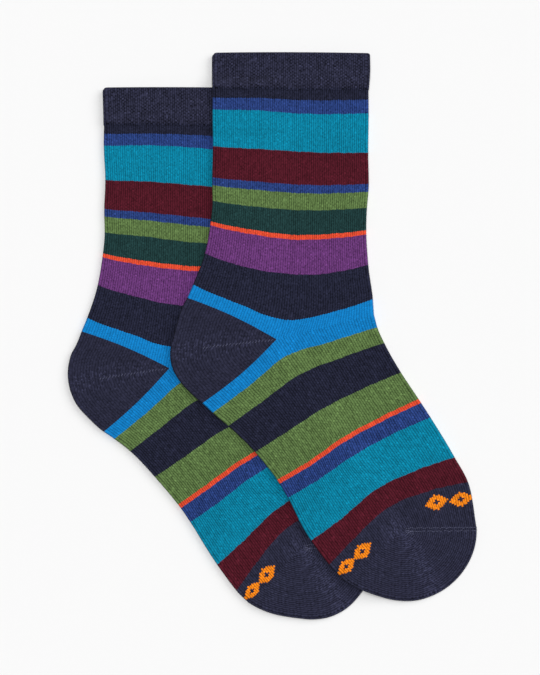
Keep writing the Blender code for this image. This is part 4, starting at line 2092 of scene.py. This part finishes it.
    def mottle(self, shader: Shader, stitch: Stitch) -> Socket:
        """Single stitches lighter and darker, and a few with a pale fleck.

        Args:
            shader: The material's nodes.
            stitch: Each place's stitch.

        Returns:
            How much lighter each place is.
        """
        start = shader.random(Seed.DASH, stitch.leg)
        run = shader.math("FLOOR", shader.math("MULTIPLY_ADD", stitch.row, self.dash, start))
        each = shader.math("SUBTRACT", shader.random(Seed.STITCH, stitch.leg, run), 0.5)
        each = shader.math("MULTIPLY", each, 2.0 * self.each)
        draw = shader.random(Seed.PALE, stitch.column, stitch.row)
        pale = shader.math("GREATER_THAN", draw, self.grain.unflecked)
        return shader.math("MULTIPLY_ADD", pale, self.fleck, each)

    def tucked(self, shader: Shader, stitch: Stitch, heather: Socket, level: Socket) -> Socket:
        """Every other stitch is a little paler, set over by one from wale to wale.

        Args:
            shader: The material's nodes.
            stitch: Each place's stitch.
            heather: How heathered its yarn is.
            level: The tone so far.

        Returns:
            The tone with them.
        """
        along = shader.math("ABSOLUTE", shader.math("ADD", stitch.column, stitch.row))
        odd = shader.math("SUBTRACT", shader.math("MODULO", along, 2.0), 0.5)
        tuck = shader.math("MULTIPLY", heather, self.tuck)
        return shader.math("MULTIPLY_ADD", odd, tuck, level)

    def off_gore(self, shader: Shader, stitch: Stitch) -> Socket:
        """How far each stitch lies off a pocket's gores: 0 on one, 1 out of reach of their painted
        glints.

        Args:
            shader: The material's nodes.
            stitch: Each place's stitch.

        Returns:
            A value from 0 to 1.
        """
        from_fold = shader.apart(stitch.column, float(HALF_PANEL))
        wales = shader.math("SUBTRACT", float(HALF_PANEL), from_fold)
        gained = shader.math("MULTIPLY", wales, self.growth)
        start = float(self.part.value)
        end = start + 2.0 * HALF_PANEL * self.growth
        before = shader.apart(stitch.row, shader.math("ADD", gained, start))
        after = shader.apart(stitch.row, shader.math("SUBTRACT", end, gained))
        nearest = shader.math("MINIMUM", before, after)
        beyond = shader.smooth(nearest, self.grain.gore_core, self.gore_reach)
        about_apex = shader.smooth(wales, self.gore_clear, 0.0)
        return shader.math("MAXIMUM", beyond, about_apex)

    def slackened(self, shader: Shader, stitch: Stitch, beyond: Socket, level: Socket) -> Socket:
        """Painted glints: scattered slack stitches made lighter, fewer and duller as beyond goes
        from 0 to 1.

        Args:
            shader: The material's nodes.
            stitch: Each place's stitch.
            beyond: How far out of their reach each place lies.
            level: The tone so far.

        Returns:
            The tone with them.
        """
        # Painted glints: a few stitches drawn at random are made lighter in colour.
        draw = shader.random(Seed.SLACK, stitch.leg, stitch.row)
        glinting = shader.math("GREATER_THAN", draw, self.rarity)
        close = shader.math("SUBTRACT", 1.0, beyond)
        share = shader.math("MULTIPLY", glinting, close)
        return shader.math("MULTIPLY_ADD", share, self.grain.slack, level)

    def height(self, shader: Shader, stitch: Stitch) -> Socket:
        """The two plump legs of each stitch.

        Args:
            shader: The material's nodes.
            stitch: Each place's stitch.

        Returns:
            A height from 0 to 1.
        """
        # side goes from 0 to 0.5, so this goes from -1 to 1 across a leg.
        across = shader.math("MULTIPLY_ADD", stitch.side, 4.0, -1.0)
        plump = shader.math("SUBTRACT", 1.0, shader.math("MULTIPLY", across, across))
        along = shader.math("MULTIPLY", shader.math("FRACT", stitch.leaned), math.pi)
        arc = self.grain.arc
        bowed = shader.math("MULTIPLY_ADD", shader.math("SINE", along), arc, 1.0 - arc)
        return shader.math("MULTIPLY", plump, bowed)


@dataclass(frozen=True)
class PlainFinish:
    """A finish of one colour all over.

    Attributes:
        name: The material's name.
        colour: Its colour in linear light.
        roughness: How dull it is.
        sheen: How strong its sheen is.
        specular: How much of a plain reflection it has.
    """

    name: str
    colour: Colour
    roughness: float
    sheen: float = 0.0
    specular: float = 0.1

    def build(self) -> bpy.types.Material:
        """Make the material.

        Returns:
            The material.
        """
        shader = Shader(self.name)
        shader.set("Base Color", self.colour)
        shader.set("Roughness", self.roughness)
        shader.set("Specular IOR Level", self.specular)
        shader.set("Sheen Weight", self.sheen)
        return shader.material


# valley sets each finish's painted shade between the wales.
KNITS = (
    KnitFinish(
        "cuff_rib_navy",
        Part.CUFF,
        CUFF_STRIPES,
        30,
        slant=0.4,
        wave=3.4,
        valley=0.8,
        fleck=0.6,
        each=0.42,
        streak=0.36,
        tuck=0.5,
        shade=0.99,
    ),
    KnitFinish("striped_leg_knit", Part.LEG, LEG_STRIPES, 154),
    KnitFinish(
        "striped_foot_knit",
        Part.FOOT,
        FOOT_STRIPES,
        140,
        edge_yarn=Yarn.NAVY,
        edge_from=float(HALF_PANEL),
        lozenges=(
            Lozenge(5.0, 332.0),
            Lozenge(15.0, 332.0),
            Lozenge(56.0, 331.0),
            Lozenge(67.0, 333.0),
        ),
        # Slack stitches with painted glints near the toe seam's start.
        slack=Lozenge(34.0, 337.0, 11.0, 17.0),
        rarity=0.6,
        valley=0.68,
        each=0.24,
        dash=0.45,
        fleck=0.34,
        tuck=0.2,
        shade=0.955,
    ),
    KnitFinish(
        "heel_knit_navy",
        Part.HEEL,
        PLAIN_NAVY,
        72,
        edge_yarn=Yarn.AZURE,
        valley=0.4,
        each=0.24,
        fleck=0.2,
        tuck=0.14,
        shade=0.85,
        growth=HEEL_GROWTH,
        gore_reach=12.0,
        gore_clear=14.0,
        rarity=0.88,
    ),
    KnitFinish(
        "toe_knit_navy",
        Part.TOE,
        PLAIN_NAVY,
        108,
        valley=0.74,
        each=0.3,
        tuck=0.3,
        shade=1.03,
        growth=TOE_GROWTH,
        gore_reach=10.0,
        rarity=0.64,
    ),
)

LOOP_YARN = PlainFinish("loop_yarn", Yarn.LOOP.dyed, 0.9, sheen=0.1)


@dataclass
class Loops:
    """Raised loops of yarn, each a small plump bar.

    Attributes:
        name: The piece's name.
        bars: Where each loop runs and how thick it is.
        sides: How many sides a loop has.
        rings: How many rings of faces it has from end to end.
        overlap: The share of its width by which a loop is longer than its bar.
        flatness: A loop's height as a share of its width.
    """

    name: str
    bars: Sequence[Bar]
    sides: int = 8
    rings: int = 6
    overlap: float = 0.6
    flatness: float = 0.75

    def to_object(self) -> bpy.types.Object:
        """Model the loops as one piece.

        Returns:
            The finished object.
        """
        ball = {"segments": self.sides, "ring_count": self.rings, "radius": 0.5, "calc_uvs": False}
        bpy.ops.object.select_all(action="DESELECT")
        bpy.ops.mesh.primitive_uv_sphere_add(**ball)
        piece = bpy.context.object
        piece.name = self.name
        piece.data.name = self.name
        bpy.ops.object.mode_set(mode="EDIT")
        bpy.ops.mesh.select_all(action="SELECT")
        bpy.ops.mesh.delete(type="VERT")
        for bar in self.bars:
            way = bar.end - bar.start
            length = float(np.linalg.norm(way)) + bar.width * self.overlap
            bpy.ops.mesh.primitive_uv_sphere_add(
                location=tuple((bar.start + bar.end) / 2),
                rotation=tuple(Vector(way).to_track_quat("X", "Z").to_euler()),
                scale=(length, bar.width, bar.width * self.flatness),
                **ball,
            )
        bpy.ops.object.mode_set(mode="OBJECT")
        bpy.ops.object.shade_smooth()
        return piece


@dataclass
class SockDresser:
    """Builds and dresses every section of one sock.

    Attributes:
        pattern: The sock's knitting.
        lay: Where it lies.
        knits: Each section's finish.
        yarn: The raised loops' finish.
        lies_on: The name of the sock below, if there is one; not used.
    """

    pattern: SockPattern
    lay: Lay
    knits: dict[Part, bpy.types.Material]
    yarn: bpy.types.Material
    lies_on: str | None = None

    kinds: ClassVar[tuple[type[Section], ...]] = (Cuff, Leg, Heel, Foot, Toe)

    def build(self) -> None:
        """Build the sections, put each on the body and hide the solid that it dresses."""
        for kind in self.kinds:
            section = kind(self.pattern, self.lay)
            piece = section.shell().to_object(f"{section.node}_knit")
            piece.data.materials.append(self.knits[section.part])
            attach(piece, "root")
            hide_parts(section.node)
            self.sew(section)
            LOG.info("%s: %d faces", piece.name, len(piece.data.polygons))

    def sew(self, section: Section) -> list[bpy.types.Object]:
        """Add a section's sewing, if it has any.

        Args:
            section: The section.

        Returns:
            The piece of loops, or nothing.
        """
        bars = section.sewing()
        if not bars:
            return []
        loops = Loops(f"{section.node}_loops", bars).to_object()
        loops.data.materials.append(self.yarn)
        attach(loops, "root")
        LOG.info("%s: %d loops", loops.name, len(bars))
        return [loops]


def plan_outline(pattern: SockPattern, pitch: float = 5.0, fan_points: int = 25) -> np.ndarray:
    """The sock's outline in plan, from its own heel apex.

    Args:
        pattern: The sock's knitting.
        pitch: Courses between two points of the outline.
        fan_points: Points round each pocket.

    Returns:
        A closed loop of points in metres.
    """
    edges = []
    for table in (pattern.cuff, pattern.leg, pattern.foot):
        last = table[-1].number
        edges.append(courses(table, np.linspace(0, last, round(last / pitch) + 1)))
    cuff, leg, foot = edges
    still = Lay(np.zeros(2))
    shares = np.linspace(1.0, 0.0, fan_points)
    toe = np.array([spoke.points[0] for spoke in Toe(pattern, still).fan(shares)])
    heel = np.array([spoke.points[0] for spoke in Heel(pattern, still).fan(shares)])
    down_front = [cuff[:, 4:6], leg[:, 4:6], foot[:, 4:6]]
    up_back = [foot[::-1, 0:2], heel, leg[::-1, 0:2], cuff[::-1, 0:2]]
    return np.concatenate([*down_front, toe, *up_back])


class Sun(NamedTuple):
    """A wide, soft light: where it comes from, how strong it is and how many degrees wide."""

    name: str
    place: tuple[float, float, float]
    strength: float
    angle: float


@dataclass(frozen=True)
class Studio:
    """The plain pale floor, the soft light and the camera straight above.

    Attributes:
        view_height: How much of the socks' height the camera takes in, in metres.
        distance: How high the camera is.
        centre: The point that it looks down on.
        sock_height: The height at which the view is that large.
        floor_size: How wide the floor is.
        floor_drop: How far it lies below the socks.
        floor_tone: How pale it is.
        world_strength: How strong the light from all round is.
        suns: The lights.
    """

    view_height: float = 0.3105
    distance: float = 1.6
    centre: tuple[float, float] = (-0.00103, -0.00059)
    sock_height: float = 4 * MM
    floor_size: float = 8.0
    floor_drop: float = 0.02 * MM
    floor_tone: float = 0.9
    world_strength: float = 0.1
    suns: tuple[Sun, ...] = (
        Sun("soft_overhead", (-0.05, 0.12, 1.25), 2.16, 24.0),
        Sun("soft_right", (0.85, 0.5, 1.0), 1.25, 44.0),
    )

    def build(self) -> None:
        """Lay the floor, hang the lights and set the camera."""
        self.lay_floor()
        for sun in self.suns:
            self.hang(sun)
        self.light_world()
        self.aim_camera()
        LOG.info("studio: %d suns", len(self.suns))

    def lay_floor(self) -> None:
        """A large pale sheet a hair below the socks."""
        bpy.ops.object.select_all(action="DESELECT")
        bpy.ops.mesh.primitive_plane_add(size=self.floor_size, location=(0, 0, -self.floor_drop))
        floor = bpy.context.object
        floor.name = "studio_floor"
        colour = (self.floor_tone, self.floor_tone, self.floor_tone, 1.0)
        floor.data.materials.append(PlainFinish("pale_backdrop", colour, 1.0).build())

    def hang(self, sun: Sun) -> None:
        """Hang one of the lights.

        Args:
            sun: The light.
        """
        lamp = bpy.data.lights.new(sun.name, "SUN")
        lamp.energy = sun.strength
        lamp.angle = math.radians(sun.angle)
        holder = bpy.data.objects.new(sun.name, lamp)
        holder.location = sun.place
        holder.rotation_euler = (-Vector(sun.place)).to_track_quat("-Z", "Y").to_euler()
        bpy.context.scene.collection.objects.link(holder)

    def light_world(self) -> None:
        """A faint white light from all round."""
        world = bpy.context.scene.world or bpy.data.worlds.new("studio")
        bpy.context.scene.world = world
        world.use_nodes = True
        backdrop = world.node_tree.nodes["Background"]
        backdrop.inputs["Color"].default_value = (1.0, 1.0, 1.0, 1.0)
        backdrop.inputs["Strength"].default_value = self.world_strength
        bpy.context.scene.view_settings.view_transform = "Standard"

    def aim_camera(self) -> None:
        """A long lens straight down on the pair."""
        data = bpy.data.cameras.new("overhead")
        camera = bpy.data.objects.new("overhead", data)
        bpy.context.scene.collection.objects.link(camera)
        camera.location = (self.centre[0], self.centre[1], self.distance)
        data.lens = data.sensor_width * (self.distance - self.sock_height) / self.view_height
        bpy.context.scene.camera = camera


def main() -> None:
    """Dress both socks, light them and note the sizes."""
    logging.basicConfig(level=logging.INFO, format="%(name)s: %(message)s")
    below = plan_outline(UNDER_SOCK) + UNDER_SOCK.place
    footprint = np.concatenate([below, plan_outline(TOP_SOCK) + TOP_SOCK.place])
    middle = (footprint.min(axis=0) + footprint.max(axis=0)) / 2
    under = Lay(UNDER_SOCK.place - middle)
    welt_end, mouth = (float((under.place + UNDER_SOCK.cuff[end].mid)[1]) for end in (-1, 0))
    top = Lay(TOP_SOCK.place - middle, below - middle, welt_end, mouth)
    knits = {finish.part: finish.build() for finish in KNITS}
    yarn = LOOP_YARN.build()
    SockDresser(UNDER_SOCK, under, knits, yarn).build()
    SockDresser(TOP_SOCK, top, knits, yarn, lies_on=UNDER_SOCK.name).build()
    Studio().build()


if __name__ == "__main__":
    main()
